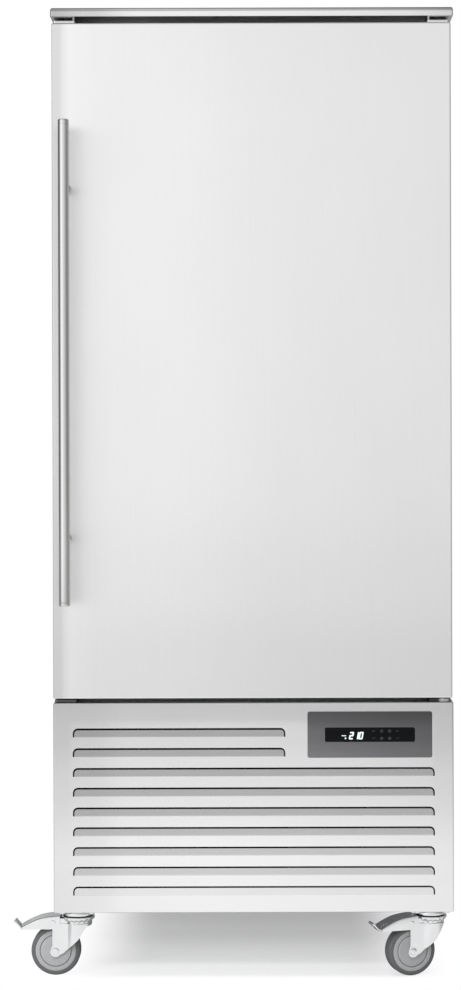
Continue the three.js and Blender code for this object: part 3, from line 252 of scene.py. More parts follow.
def pan(x, z, front, depth, sheet, bend, holes=()):
    """A pan that faces -y: inner face, inner wall, edge, outer wall, fold, outer face.

    At an angle t of the fold, a ring is drawn in by bend * (1 - cos t) and lies bend * (1 - sin t)
    behind the front. Holes are (x pair, z pair, corner radii), and their front edges are chamfered.
    """
    fold = np.linspace(0, np.pi / 2, 7)
    outer_inset, outer_depth = bend * (1 - np.cos(fold)), bend * (1 - np.sin(fold))
    inner_bend = max(bend - sheet, 0.1)
    inner_inset = sheet + inner_bend * (1 - np.cos(fold[::-1]))
    inner_depth = sheet + inner_bend * (1 - np.sin(fold[::-1]))
    inset = np.concatenate([
        [inner_inset[0] + FLAT_RING], inner_inset, [sheet, 0], outer_inset, [bend + FLAT_RING]])
    y = front + np.concatenate([[sheet], inner_depth, [depth, depth], outer_depth, [0]])
    outlines = [drawn_in(x, z, d, bend - min(d, bend) + SOFT_CORNER) for d in inset]
    if not holes:
        return rings(outlines, y, "y")
    cuts = [[drawn_in(a, b, -d, np.add(r, d), 10) for a, b, r in holes] for d in (CHAMFER, 0)]
    parts = [grid(stacked(outlines, y, "y"), wrap_columns=True),
             pierced(outlines[-1], cuts[0], front), pierced(outlines[0], cuts[1], front + sheet)]
    for wide, narrow in zip(*cuts):
        wall = stacked((wide, narrow, narrow), (front, front + CHAMFER, front + sheet), "y")
        parts.append(grid(wall, wrap_columns=True))
    return together(*parts)


# %% [markdown]
# ## Making a piece
#
# One function turns parts into a finished Blender object: it merges the points that meet, such as
# those at the pole of a turned shape, points the faces outwards, shades what is round smoothly and
# keeps the real corners sharp. The piece then rides on the body of the mechanism that carries it.
# Where a formula gives no good hole, a cutter is taken out of the finished mesh by a Boolean, which is
# applied at once.


# %% From part to object
SAME_PLACE = 2e-6  # metres between points that are merged
SHARP = 32  # degrees between two faces from which their edge stays sharp


def mesh_of(name, part):
    """A mesh with the part's points merged where they meet and its faces pointing outwards."""
    points, faces = part
    mesh = bpy.data.meshes.new(name)
    mesh.from_pydata(to_frame(points).tolist(), [], faces)
    work = bmesh.new()
    work.from_mesh(mesh)
    bmesh.ops.remove_doubles(work, verts=work.verts, dist=SAME_PLACE)
    bmesh.ops.recalc_face_normals(work, faces=work.faces)
    work.to_mesh(mesh)
    work.free()
    return mesh


def shade(mesh, sharp):
    """Smooth shading, but for edges whose faces meet at more than an angle in degrees."""
    mesh.shade_smooth()
    mesh.set_sharp_from_angle(angle=math.radians(sharp))


def make(name, part, material, body, replaces=(), sharp=SHARP):
    """A finished piece from a part, on its body, in place of the nodes that it replaces."""
    mesh = mesh_of(name, part)
    shade(mesh, sharp)
    mesh.materials.append(material)
    piece = bpy.data.objects.new(name, mesh)
    bpy.context.scene.collection.objects.link(piece)
    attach(piece, body)
    if replaces:
        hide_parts(*replaces)
    print(f"{name}: {len(mesh.polygons)} faces on {body}")
    return piece


def carve(piece, *cutters):
    """Cut parts out of a piece, and keep what is left as the piece's own mesh."""
    tool = bpy.data.objects.new("cutter", mesh_of("cutter", together(*cutters)))
    bpy.context.scene.collection.objects.link(tool)
    cut = piece.modifiers.new("cut", "BOOLEAN")
    cut.object = tool
    cut.operation = "DIFFERENCE"
    cut.solver = "EXACT"
    bpy.context.view_layer.update()
    evaluated = piece.evaluated_get(bpy.context.evaluated_depsgraph_get())
    result = bpy.data.meshes.new_from_object(evaluated)
    piece.modifiers.remove(cut)
    whole, cutter = piece.data, tool.data
    piece.data = result
    result.name = piece.name
    bpy.data.meshes.remove(whole)
    bpy.data.objects.remove(tool)
    bpy.data.meshes.remove(cutter)
    shade(result, SHARP)
    print(f"{piece.name} cut: {len(result.polygons)} faces")


# %% [markdown]
# ## Finishes
#
# Each finish is one Principled shader. A photographed texture would fit one view of one machine only,
# so every pattern here is worked out by nodes. What changes over a surface, such as the grain of brushed
# steel or the faint sway of a large panel, comes from node groups that several finishes share. The
# groups put out only tones, roughness and heights, and the shader stays in the material, so that the
# finish can be baked for export.


# %% Node helpers
def group(name, inputs, outputs):
    """A new shader node group with named sockets, its input node and its output node."""
    tree = bpy.data.node_groups.new(name, "ShaderNodeTree")
    for socket, kind, value in inputs:
        made = tree.interface.new_socket(name=socket, in_out="INPUT", socket_type=f"NodeSocket{kind}")
        if value is not None:
            made.default_value = value
    for socket, kind in outputs:
        tree.interface.new_socket(name=socket, in_out="OUTPUT", socket_type=f"NodeSocket{kind}")
    return tree, tree.nodes.new("NodeGroupInput"), tree.nodes.new("NodeGroupOutput")


def node(tree, kind, links=None, **settings):
    """A node with its settings, and with its sockets linked to others or set to plain values."""
    made = tree.nodes.new(kind)
    for key, value in settings.items():
        setattr(made, key, value)
    for socket, value in (links or {}).items():
        if isinstance(value, bpy.types.NodeSocket):
            tree.links.new(value, made.inputs[socket])
        else:
            made.inputs[socket].default_value = value
    return made


def maths(tree, operation, a, b=0.0, c=0.0):
    """One sum on numbers or sockets."""
    return node(tree, "ShaderNodeMath", {0: a, 1: b, 2: c}, operation=operation).outputs[0]


def stretched(tree, vector, scale):
    """A vector with each axis scaled by its own number."""
    return node(tree, "ShaderNodeMapping", {"Vector": vector, "Scale": scale}).outputs[0]


def noise(tree, vector, scale, detail, roughness=0.5):
    """A cloudy noise from 0 to 1 over a vector."""
    return node(tree, "ShaderNodeTexNoise", {
        "Vector": vector, "Scale": scale, "Detail": detail, "Roughness": roughness}).outputs[0]


def ramp(tree, value, stops):
    """A number from 0 to 2 that follows smooth stops of (position, level).

    A colour ramp holds no more than 1, so the levels are stored at half their size.
    """
    made = node(tree, "ShaderNodeValToRGB", {0: value})
    made.color_ramp.interpolation = "EASE"
    while len(made.color_ramp.elements) < len(stops):
        made.color_ramp.elements.new(0.5)
    for element, (position, level) in zip(made.color_ramp.elements, stops):
        element.position = position
        element.color = (level / 2, level / 2, level / 2, 1)
    return maths(tree, "MULTIPLY", made.outputs[0], 2.0)


def fade(tree, place, axis, stops):
    """A tone that changes along an axis. Stops are (millimetres about the cabinet, tone)."""
    i = "xyz".index(axis)
    low, high = stops[0][0], stops[-1][0]
    share = node(tree, "ShaderNodeMapRange", {
        "Value": node(tree, "ShaderNodeSeparateXYZ", {0: place}).outputs[i],
        "From Min": low * MM + cabinet_zero[i], "From Max": high * MM + cabinet_zero[i]}).outputs[0]
    return ramp(tree, share, [((at - low) / (high - low), tone) for at, tone in stops])


def faded(tree, place, tone, fades):
    """A tone multiplied by every fade. Each is an axis and its stops."""
    for axis, stops in fades:
        tone = maths(tree, "MULTIPLY", tone, fade(tree, place, axis, stops))
    return tone


def relief(tree, shader, height, depth, strength=1.0):
    """A bump whose height from 0 to 1 stands for a depth in millimetres."""
    bump = node(tree, "ShaderNodeBump", {
        "Height": height, "Strength": strength, "Distance": depth * MM})
    tree.links.new(bump.outputs[0], shader.inputs["Normal"])


# %% [markdown]
# Brushed steel is scratched one way by an abrasive belt. Seen close, it is a bundle of fine lines
# whose brightness and gloss differ a little. A noise that is stretched a hundredfold along the belt's
# direction gives such lines. Two lengths of line are mixed, because a belt leaves both hairlines and
# longer, softer bands.


# %% Shared groups: brushed grain, panel sway, fine mottle
HAIRLINES = (2600, 2600, 26)  # noise cells to a metre: across the grain twice, and along it
BANDS = (420, 420, 3)
WIPED = (5, 5, 2.2)


def brushed_grain():
    """Hairlines and bands, mixed 6 to 4, as a tone, a change of roughness and a height."""
    tree, inside, outside = group(
        "Brushed grain",
        [("Vector", "Vector", None), ("Amount", "Float", 1.0)],
        [("Tone", "Float"), ("Roughness", "Float"), ("Height", "Float")])
    vector, amount = inside.outputs["Vector"], inside.outputs["Amount"]
    hair = noise(tree, stretched(tree, vector, HAIRLINES), 1.0, 2.0)
    band = noise(tree, stretched(tree, vector, BANDS), 1.0, 3.0)
    mixed = maths(tree, "MULTIPLY_ADD", hair, 0.6, maths(tree, "MULTIPLY", band, 0.4))
    centred = maths(tree, "SUBTRACT", mixed, 0.5)
    swing = maths(tree, "MULTIPLY", centred, amount)
    tree.links.new(maths(tree, "MULTIPLY_ADD", swing, 0.1, 1.0), outside.inputs["Tone"])
    tree.links.new(maths(tree, "MULTIPLY", swing, 0.12), outside.inputs["Roughness"])
    tree.links.new(mixed, outside.inputs["Height"])
    return tree


def panel_sway():
    """The slow unevenness of a large sheet, and the cloudiness that wiping leaves in its gloss."""
    tree, inside, outside = group(
        "Panel sway", [("Vector", "Vector", None)], [("Height", "Float"), ("Cloud", "Float")])
    vector = inside.outputs["Vector"]
    slow = noise(tree, vector, 2.3, 1.0)
    wiped = noise(tree, stretched(tree, vector, WIPED), 1.0, 4.0, 0.62)
    tree.links.new(slow, outside.inputs["Height"])
    tree.links.new(maths(tree, "SUBTRACT", wiped, 0.5), outside.inputs["Cloud"])
    return tree


def fine_mottle():
    """A grain without direction, for paint, plastic, rubber and cast surfaces."""
    tree, inside, outside = group(
        "Fine mottle", [("Vector", "Vector", None), ("Scale", "Float", 900.0)],
        [("Tone", "Float"), ("Height", "Float")])
    fine = noise(tree, inside.outputs["Vector"], inside.outputs["Scale"], 3.0)
    broad = noise(tree, inside.outputs["Vector"], 24.0, 3.0)
    tree.links.new(maths(tree, "MULTIPLY_ADD", broad, 0.14, 0.93), outside.inputs["Tone"])
    tree.links.new(fine, outside.inputs["Height"])
    return tree


GRAIN, SWAY, MOTTLE = brushed_grain(), panel_sway(), fine_mottle()


# %% [markdown]
# The steel finishes differ only in colour, gloss and the way their grain runs, so one function makes
# them all. `turn` lays the long axis of the grain along x, y or z.


# %% Steel
TURNS = {"x": (0, math.pi / 2, 0), "y": (math.pi / 2, 0, 0), "z": (0, 0, 0)}
SCRATCH = 0.005  # millimetres, how deep the grain is
CLOUDING = 0.08  # how much roughness the wiping changes


def start_material(name, colour, roughness, metallic):
    """A material with one shader, its node tree, that shader and the place on the object."""
    material = bpy.data.materials.new(name)
    material.use_nodes = True
    tree = material.node_tree
    shader = tree.nodes["Principled BSDF"]
    shader.inputs["Base Color"].default_value = (*colour, 1)
    shader.inputs["Roughness"].default_value = roughness
    shader.inputs["Metallic"].default_value = metallic
    place = node(tree, "ShaderNodeTexCoord").outputs["Object"]
    return material, tree, shader, place


def tinted(tree, shader, colour, tone):
    """The finish's colour, lightened and darkened by a tone."""
    mix = node(tree, "ShaderNodeVectorMath", {0: colour, "Scale": tone}, operation="SCALE")
    tree.links.new(mix.outputs[0], shader.inputs["Base Color"])


def steel(name, colour, roughness, turn="z", grain=1.0, sway=0.0, fades=(), spread=0.0, patch=None):
    """Brushed metal: grain along one axis, a slow sway, and roughness that follows both.

    Each of the fades is an axis and its stops, and paints shade and reflected light into the colour of
    the whole piece along that axis. A patch is a mask along x and a fade along z, a painted highlight
    that holds by the mask's share. The sway is the height in millimetres by which a large sheet is
    uneven. Upright grain scatters light sideways, by the spread.
    """
    material, tree, shader, place = start_material(name, colour, roughness, 1.0)
    laid = node(tree, "ShaderNodeMapping", {"Vector": place, "Rotation": TURNS[turn]}).outputs[0]
    lines = node(tree, "ShaderNodeGroup", node_tree=GRAIN)
    tree.links.new(laid, lines.inputs["Vector"])
    lines.inputs["Amount"].default_value = grain
    slow = node(tree, "ShaderNodeGroup", node_tree=SWAY)
    tree.links.new(place, slow.inputs["Vector"])
    # The fades paint shade and reflected light into the grain's tone, and the patch paints a highlight.
    tone = faded(tree, place, lines.outputs["Tone"], fades)
    if patch:
        inside = fade(tree, place, "x", patch[0])
        over = maths(tree, "SUBTRACT", fade(tree, place, "z", patch[1]), 1.0)
        tone = maths(tree, "MULTIPLY", tone, maths(tree, "MULTIPLY_ADD", inside, over, 1.0))
    tinted(tree, shader, colour, tone)
    shader.inputs["Anisotropic"].default_value = spread
    rough = maths(tree, "ADD", maths(tree, "ADD", lines.outputs["Roughness"], roughness),
                  maths(tree, "MULTIPLY", slow.outputs["Cloud"], CLOUDING))
    tree.links.new(rough, shader.inputs["Roughness"])
    height = maths(tree, "MULTIPLY_ADD", slow.outputs["Height"], sway,
                   maths(tree, "MULTIPLY", lines.outputs["Height"], SCRATCH))
    relief(tree, shader, height, 1.0)
    return material


# %% [markdown]
# A large sheet never looks even, because the room that it mirrors isn't. The studio at the end of
# this lesson draws most of that. What it can't draw is painted into the finish as shade and reflected
# light, by fades: pairs of a place in millimetres about the cabinet and the tone there. They paint the
# darker strip along the door's left edge, the door's darker foot and the darker ends of the cap. The
# base has a patch besides, a painted highlight that makes only the sheet round its louvres brighter
# towards the top. The lower brackets stand in the shade of the gap between the door and the base, and
# only what sticks out of it at the right catches light; their fades paint that shade and that light.


# %% The steels of this machine
# Painted shade and reflected light on the door: darker along its left edge and at its foot, lighter just
# right of the handle, and a little darker towards its right.
DOOR_SHADE_X = [(-402, 0.87), (-386, 0.88), (-374, 1.02), (-364, 1.08), (-345, 1.065), (-310, 1.045),
          (-170, 1.045), (110, 1.0), (402, 0.99)]
DOOR_SHADE_Z = [(568, 0.9), (640, 0.915), (800, 0.975), (1000, 1.0), (1919, 1.0)]
# Painted shade on the base: darker towards its left end and towards its top.
BASE_SHADE_X = [(-400, 0.86), (-330, 0.885), (-240, 0.975), (-60, 1.0), (400, 0.965)]
BASE_SHADE_Z = [(140, 1.01), (200, 1.02), (240, 1.04), (400, 0.92), (500, 0.82), (560, 0.77)]
# A painted highlight on the sheet round the louvres: where it holds across, and how much brighter it gets
# towards the top.
HIGHLIGHT_STRIP_X = [(-372, 0.0), (-358, 0.6), (-240, 1.0), (200, 1.0), (352, 0.7), (366, 0.0)]
HIGHLIGHT_STRIP_Z = [(200, 1.0), (300, 1.02), (390, 1.05), (470, 1.12), (512, 1.13), (530, 1.0)]
# Painted shade on the cap: darker towards both ends, most at the left.
CAP_SHADE_X = [(-402, 0.55), (-330, 0.69), (-220, 0.96), (0, 1.0), (300, 0.98), (402, 0.86)]
# Painted shade for the lower brackets in the gap, with painted light where they stick out at the right.
GAP_SHADE_X = [(-402, 0.35), (-390, 0.16), (370, 0.08), (376, 0.85), (389, 0.7), (393, 0.22), (402, 0.4)]
# Painted shade on the bezel: lighter towards its bottom and its left.
BEZEL_SHADE_X = [(108, 1.06), (357, 0.9)]
BEZEL_SHADE_Z = [(450, 1.25), (495, 1.0), (541, 0.62)]

door_steel = steel("door_steel", (0.83, 0.83, 0.83), 0.38, "z", sway=0.3, spread=0.75,
                   fades=[("x", DOOR_SHADE_X), ("z", DOOR_SHADE_Z)])
base_steel = steel("base_steel", (0.80, 0.80, 0.80), 0.21, "x", sway=0.3,
                   patch=(HIGHLIGHT_STRIP_X, HIGHLIGHT_STRIP_Z), fades=[("z", BASE_SHADE_Z), ("x", BASE_SHADE_X)])
cap_steel = steel("cap_steel", (0.80, 0.80, 0.80), 0.2, "x", grain=0.8, fades=[("x", CAP_SHADE_X)])
side_steel = steel("side_steel", (0.79, 0.79, 0.78), 0.34, "z", sway=0.8)
inner_steel = steel("inner_steel", (0.74, 0.745, 0.74), 0.3, "z", sway=0.4)
rack_steel = steel("rack_steel", (0.76, 0.765, 0.76), 0.26, "y", grain=0.6)
handle_steel = steel("handle_steel", (0.62, 0.62, 0.615), 0.12, "z", grain=0.7)
bracket_steel = steel("bracket_steel", (0.74, 0.74, 0.735), 0.25, "x", grain=0.5)
# A darker copy of the bracket steel: painted shade for the brackets in the gap.
shaded_steel = steel("shaded_steel", (0.62, 0.62, 0.62), 0.3, "x", grain=0.5, fades=[("x", GAP_SHADE_X)])
bezel_metal = steel("bezel_metal", (0.15, 0.15, 0.155), 0.3, "x", grain=1.4,
                    fades=[("z", BEZEL_SHADE_Z), ("x", BEZEL_SHADE_X)])
print("steels:", len(bpy.data.materials))

# %% [markdown]
# Galvanised and zinc-plated metal has no grain but crystals and a soft cloudiness. Voronoi cells give
# the spangle: each cell has its own brightness and its own gloss.


# %% Zinc and galvanised sheet
def crystal_metal(name, colour, roughness, size, spread):
    """Metal with crystals about size millimetres across, whose tones spread by a share."""
    material, tree, shader, place = start_material(name, colour, roughness, 1.0)
    cells = node(tree, "ShaderNodeTexVoronoi", {"Vector": place, "Scale": 1000 / size})
    value = node(tree, "ShaderNodeSeparateColor", {0: cells.outputs["Color"]}).outputs[0]
    mottle = node(tree, "ShaderNodeGroup", {"Vector": place, "Scale": 700.0}, node_tree=MOTTLE)
    crystal = maths(tree, "MULTIPLY_ADD", value, spread, 1 - spread / 2)
    tinted(tree, shader, colour, maths(tree, "MULTIPLY", mottle.outputs["Tone"], crystal))
    rough = maths(tree, "MULTIPLY_ADD", value, spread / 2, roughness)
    tree.links.new(rough, shader.inputs["Roughness"])
    relief(tree, shader, mottle.outputs["Height"], 0.02, strength=0.1)
    return material


galvanised = crystal_metal("galvanised_sheet", (0.66, 0.68, 0.69), 0.42, 9, 0.22)
zinc = crystal_metal("zinc_plate", (0.745, 0.75, 0.755), 0.24, 2.5, 0.02)


# %% [markdown]
# Paint, plastic, rubber and foam have no direction at all. One finish serves them: a mottle that
# lightens and dulls the colour a little, and a relief whose depth and scale tell enamel from foam. The
# recess under the cap is painted with the plainest of them, as a dark grey that stands for its shade.
# Its fades paint it darkest about its middle and lighter at its open ends, where light comes in.


# %% Paint, plastic, rubber and glass
DULLING = 0.35  # how much roughness follows the mottle


def plain_finish(name, colour, roughness, depth=0.02, scale=900.0, gloss=0.5, fades=()):
    """A finish without direction: mottled colour and a relief with a depth in millimetres."""
    material, tree, shader, place = start_material(name, colour, roughness, 0.0)
    mottle = node(tree, "ShaderNodeGroup", {"Vector": place, "Scale": scale}, node_tree=MOTTLE)
    tinted(tree, shader, colour, faded(tree, place, mottle.outputs["Tone"], fades))
    rough = maths(tree, "MULTIPLY_ADD", mottle.outputs["Tone"], DULLING, roughness - DULLING)
    tree.links.new(rough, shader.inputs["Roughness"])
    relief(tree, shader, mottle.outputs["Height"], depth, strength=0.5)
    shader.inputs["Specular IOR Level"].default_value = gloss
    return material


# Painted shade for the recess under the cap: darkest about its middle, painted lighter towards its open
# ends and its back.
RECESS_SHADE_X = [(-350, 2.0), (-290, 1.9), (-120, 1.1), (150, 1.0), (270, 1.3), (350, 1.6)]
RECESS_SHADE_Y = [(0, 0.8), (17, 0.85), (25, 1.7), (34, 2.0)]
black_enamel = plain_finish("black_enamel", (0.022, 0.023, 0.025), 0.38, depth=0.05, scale=500)
grey_plastic = plain_finish("grey_plastic", (0.36, 0.365, 0.37), 0.5)
hub_plastic = plain_finish("hub_plastic", (0.40, 0.405, 0.41), 0.48)
tyre_rubber = plain_finish("tyre_rubber", (0.12, 0.122, 0.125), 0.62, depth=0.05, scale=1400)
gasket_rubber = plain_finish("gasket_rubber", (0.30, 0.305, 0.315), 0.6)
breaker_plastic = plain_finish("breaker_plastic", (0.78, 0.785, 0.78), 0.42)
foam_yellow = plain_finish("foam_yellow", (0.80, 0.70, 0.42), 0.9, depth=0.4, scale=350)
window_black = plain_finish("window_black", (0.004, 0.0045, 0.005), 0.1, depth=0.0, gloss=0.07)
gland_black = plain_finish("gland_black", (0.025, 0.025, 0.027), 0.45, depth=0.03)
painted_recess_shade = plain_finish("painted_recess_shade", (0.15, 0.15, 0.15), 0.7,
                             fades=[("y", RECESS_SHADE_Y), ("x", RECESS_SHADE_X)])
brake_pad = plain_finish("brake_pad", (0.015, 0.015, 0.016), 0.7)
# A black that stands in for the shade behind the rear grille.
vent_shade_black = plain_finish("vent_shade_black", (0.02, 0.02, 0.02), 0.9, depth=0.5, scale=600)
# A near black that stands in for the shade in the castors' ball race.
gap_shade_black = plain_finish("gap_shade_black", (0.012, 0.012, 0.013), 0.6)


def glowing(name, colour, strength):
    """The lit segments of the display: a plain emitter with a trace of gloss over it."""
    material, tree, shader, place = start_material(name, (0.02, 0.02, 0.02), 0.3, 0.0)
    level = maths(tree, "MULTIPLY_ADD", noise(tree, place, 700.0, 1.0), 0.2, 0.9)
    glow = node(tree, "ShaderNodeVectorMath", {0: colour, "Scale": level}, operation="SCALE")
    tree.links.new(glow.outputs[0], shader.inputs["Emission Color"])
    shader.inputs["Emission Strength"].default_value = strength
    return material


lit_segment = glowing("lit_segment", (0.86, 0.97, 1.0), 1.15)
# The touch symbols are print on the glass; their faint glow is painted light.
painted_icon_glow = glowing("painted_icon_glow", (0.42, 0.45, 0.47), 0.16)
print("finishes:", len(bpy.data.materials))


# %% [markdown]
# ## The fin packs
#
# An evaporator or condenser is a stack of thin aluminium sheets on copper tubes. The model has a
# coarse comb for them. Fins two millimetres apart would be hundreds of faces that nobody can count,
# so their edges are drawn by a wave in the finish: it paints the fins' lit edges light and the shade in
# the gaps dark, and its bump sinks the gaps.


# %% Fins
def fin_metal(name, colour):
    """Fins by a wave along x, painted light on the fins' lit edges and dark in the gaps' shade."""
    material, tree, shader, place = start_material(name, colour, 0.4, 1.0)
    wave = node(tree, "ShaderNodeTexWave", {
        "Vector": place, "Scale": 150.0, "Distortion": 0.4, "Detail": 1.0},
        bands_direction="X").outputs["Fac"]
    tinted(tree, shader, colour, maths(tree, "MULTIPLY_ADD", wave, 0.75, 0.25))
    relief(tree, shader, wave, 0.6, strength=0.7)
    return material


bare_fins = fin_metal("bare_fins", (0.66, 0.67, 0.68))
# The condenser's fins are black: a dark coating, and painted shade for what shows of them through the
# louvre slits.
shade_black_fins = fin_metal("shade_black_fins", (0.05, 0.05, 0.052))
fan_metal = steel("fan_metal", (0.62, 0.63, 0.64), 0.35, "z", grain=0.8)
print("finishes with fins:", len(bpy.data.materials))


# %% [markdown]
# ## The camera
#
# The photograph was taken from about four metres with a long lens, square to the door, and then
# framed a little off centre. The sensor's long side stands for the picture's height. Shift moves the
# frame, so that the door's edges stay parallel, and a slight roll follows the photograph's own.

# %% The photograph's view
PICTURE = (461, 990)  # pixels, width and height
FOCAL = 2002  # pixels
CAMERA = np.array([0.0, -4000.0, 1000.0])  # millimetres about the cabinet
AXIS_PIXEL = (252.75, 482.3)  # where the line of sight meets the picture
ROLL = 0.16  # degrees
SENSOR = 36  # millimetres, the long side

camera_data = bpy.data.cameras.new("photograph")
camera_data.sensor_fit = "AUTO"
camera_data.sensor_width = SENSOR
camera_data.lens = FOCAL * SENSOR / PICTURE[1]
camera_data.shift_x = (PICTURE[0] / 2 - AXIS_PIXEL[0]) / PICTURE[1]
camera_data.shift_y = (AXIS_PIXEL[1] - PICTURE[1] / 2) / PICTURE[1]
camera = bpy.data.objects.new("photograph", camera_data)
bpy.context.scene.collection.objects.link(camera)
camera.location = to_frame(CAMERA)
camera.rotation_euler = (math.pi / 2, math.radians(ROLL), 0)
bpy.context.scene.camera = camera
bpy.context.scene.view_settings.view_transform = "Standard"
print("lens", round(camera_data.lens, 2), "mm")

# %% [markdown]
# ## Door
#
# The door is the largest thing in the picture: a folded stainless pan, with its edges bent over a
# three-millimetre radius. It was foamed in a press, so the front is flat but never perfectly so, and
# the finish carries that sway. Its back holds a bright inner pan and the grey magnetic gasket. The pan
# and the gasket are rings and a section carried round the rim, so their soft shoulders are real.

# %% Door front, inner pan and gasket
SHEET = 1.2
FOLD = 3.0
door_x, door_z = (door_low[0], door_high[0]), (door_low[2], door_high[2])
make(
    "door_front", pan(door_x, door_z, 0, door_high[1], SHEET, FOLD), door_steel,
    "door", ["door_skin"])

liner_low, liner_high = cad_box("door_liner")
rim_y = liner_low[1]
BOSS_INSET = 50 - SHEET
BOSS_SOFTNESS = 6.0
BOSS_DEPTH = 0.4  # of that softness, how much the shoulders take in depth
RIM_CORNER, BOSS_CORNER = 2.0, 22.0


def door_inner_pan():
    """The flat rim under the gasket and the raised middle, with soft shoulders and round corners.

    At an angle t the shoulders run out by softness * (1 - sin t) and in by softness * (1 - cos t).
    """
    turn = np.linspace(0, np.pi / 2, 7)
    run_out, run_in = BOSS_SOFTNESS * (1 - np.sin(turn)), BOSS_SOFTNESS * (1 - np.cos(turn))
    inset = np.concatenate([[0, 0], BOSS_INSET - run_out, BOSS_INSET + run_in + 1])
    low, high = rim_y + SHEET, liner_high[1]
    y = np.concatenate([[rim_y, low], low + run_in * BOSS_DEPTH, high - run_out * BOSS_DEPTH])
    corner = np.where(inset > 0, BOSS_CORNER, RIM_CORNER)
    x, z = (liner_low[0], liner_high[0]), (liner_low[2], liner_high[2])
    return rings([drawn_in(x, z, d, r) for d, r in zip(inset, corner)], y, "y")


make("door_inner_pan", door_inner_pan(), inner_steel, "door", ["door_liner"])

gasket_low, gasket_high = cad_box("door_gasket")
GASKET_WIDTH = 22


def gasket():
    """A soft section carried round the door's rim: base, folded bellows and the magnet's pad."""
    depth = gasket_high[1] - gasket_low[1]
    section = np.array([
        (0, 0), (0, 0.18), (2.2, 0.3), (3.4, 0.42), (2.4, 0.56), (0.6, 0.66), (0, 0.8), (0.6, 1.0),
        (GASKET_WIDTH - 0.6, 1.0), (GASKET_WIDTH, 0.8), (GASKET_WIDTH - 0.6, 0.66),
        (GASKET_WIDTH - 2.4, 0.56), (GASKET_WIDTH - 3.4, 0.42), (GASKET_WIDTH - 2.2, 0.3),
        (GASKET_WIDTH, 0.18), (GASKET_WIDTH, 0)])
    x, z = (gasket_low[0], gasket_high[0]), (gasket_low[2], gasket_high[2])
    outlines = [drawn_in(x, z, d, 4, 4) for d in section[:, 0]]
    points = stacked(outlines, gasket_low[1] + section[:, 1] * depth, "y")
    return grid(points, wrap_rows=True, wrap_columns=True)


make("door_gasket_profile", gasket(), gasket_rubber, "door", ["door_gasket"])

# %% [markdown]
# ## Handle
#
# A round stainless tube, closed by turned end caps with a fine chamfer, stands off the door on two
# posts. Each post has a collar on the door, where the fixing screw is hidden. All of it comes off a
# lathe, so all of it is a profile turned about an axis, and the caps' seams are part of the profile.

# %% Handle
bar_low, bar_high = cad_box("handle_bar")
bar_centre = (bar_low + bar_high) / 2
BAR_RADIUS = 11.0
CAP_SEAM = 9.0  # how far the end cap reaches along the tube


def handle_tube():
    """A tube with chamfered end caps, each parted from it by a hair-fine groove."""
    half = (bar_high[2] - bar_low[2]) / 2
    seam, groove = half - CAP_SEAM, BAR_RADIUS - 0.35
    end = [(0, half), (BAR_RADIUS - 1.6, half), (BAR_RADIUS - 0.9, half - 0.3),
           (BAR_RADIUS - 0.15, half - 1.1), (BAR_RADIUS, half - 1.7), (BAR_RADIUS, seam),
           (groove, seam - 0.2), (groove, seam - 0.5), (BAR_RADIUS, seam - 0.7)]
    return turned(two_sided(end), "z", bar_centre, 72)


make("handle_tube", handle_tube(), handle_steel, "door", ["handle_bar"])

for level in ("upper", "lower"):
    post_low, post_high = cad_box(f"handle_post_{level}")
    height = (post_low[2] + post_high[2]) / 2
    reach = bar_centre[1] + BAR_RADIUS * 0.8  # the post runs into the tube's saddle
    profile = [(0, reach), (7, reach), (7, -6.4), (7.4, -5.4), (9, -4.2), (10.6, -3.7), (11, -3.1),
               (11, -0.9), (10.7, -0.3), (0, -0.3)]
    make(f"handle_stem_{level}", turned(profile, "y", (bar_centre[0], 0, height), 48),
         handle_steel, "door", [f"handle_post_{level}"])

# %% [markdown]
# ## Cap
#
# The cap is a shallow lid. Its front edge is rolled over the door: seen from the front it is a darker
# band where the roll turns up to the top, and a bright band below. The ends are folded tighter. A
# beveled box would round every edge alike, so the lid is rings stacked upwards, and each ring is drawn
# in by its own amount at the front, at the ends and at the back. Its hollow is cut out afterwards. A
# thin sheet under the lid and a fascia close the recess between the lid and the door. Both are dark
# grey, a painted shade for the recess.


# %% Cap
cap_low, cap_high = cad_box("top_cap")
BODY_FRONT = cad_box("front_frame")[0][1]  # front face of the cabinet, behind the door
cabinet_half = round(-cad_box("side_panel_left")[0][0], 3)
CAP_HEIGHT = 20.5
CAP_BOTTOM = cap_high[2] - CAP_HEIGHT
ROLL_TOP = 8.8
ROLL_BOTTOM = 1.5
CROWN = 2.0  # how much the middle of the top stands over its rolled front
RISES = [130, 180]  # how far in from the front the top has nearly risen, and has risen
FRONT_IN = [0, ROLL_TOP, *RISES]  # how far rings of the lid are drawn in at the front,
ENDS_IN = [0, 4, 6, 8]  # at the ends, which are folded tighter,
BACK_IN = [0, 1.2, 1.8, 2.4]  # and at the back
CAP_CORNER, LEAST_CORNER = 3.5, 0.4
HOLLOW_ENDS, HOLLOW_BACK = 9, 1.9  # walls that the hollow leaves
SHADE_SHEET_ENDS, SHADE_SHEET_FRONT = 4, 1.5
FASCIA_ENDS, FASCIA_DROP = 25, 24


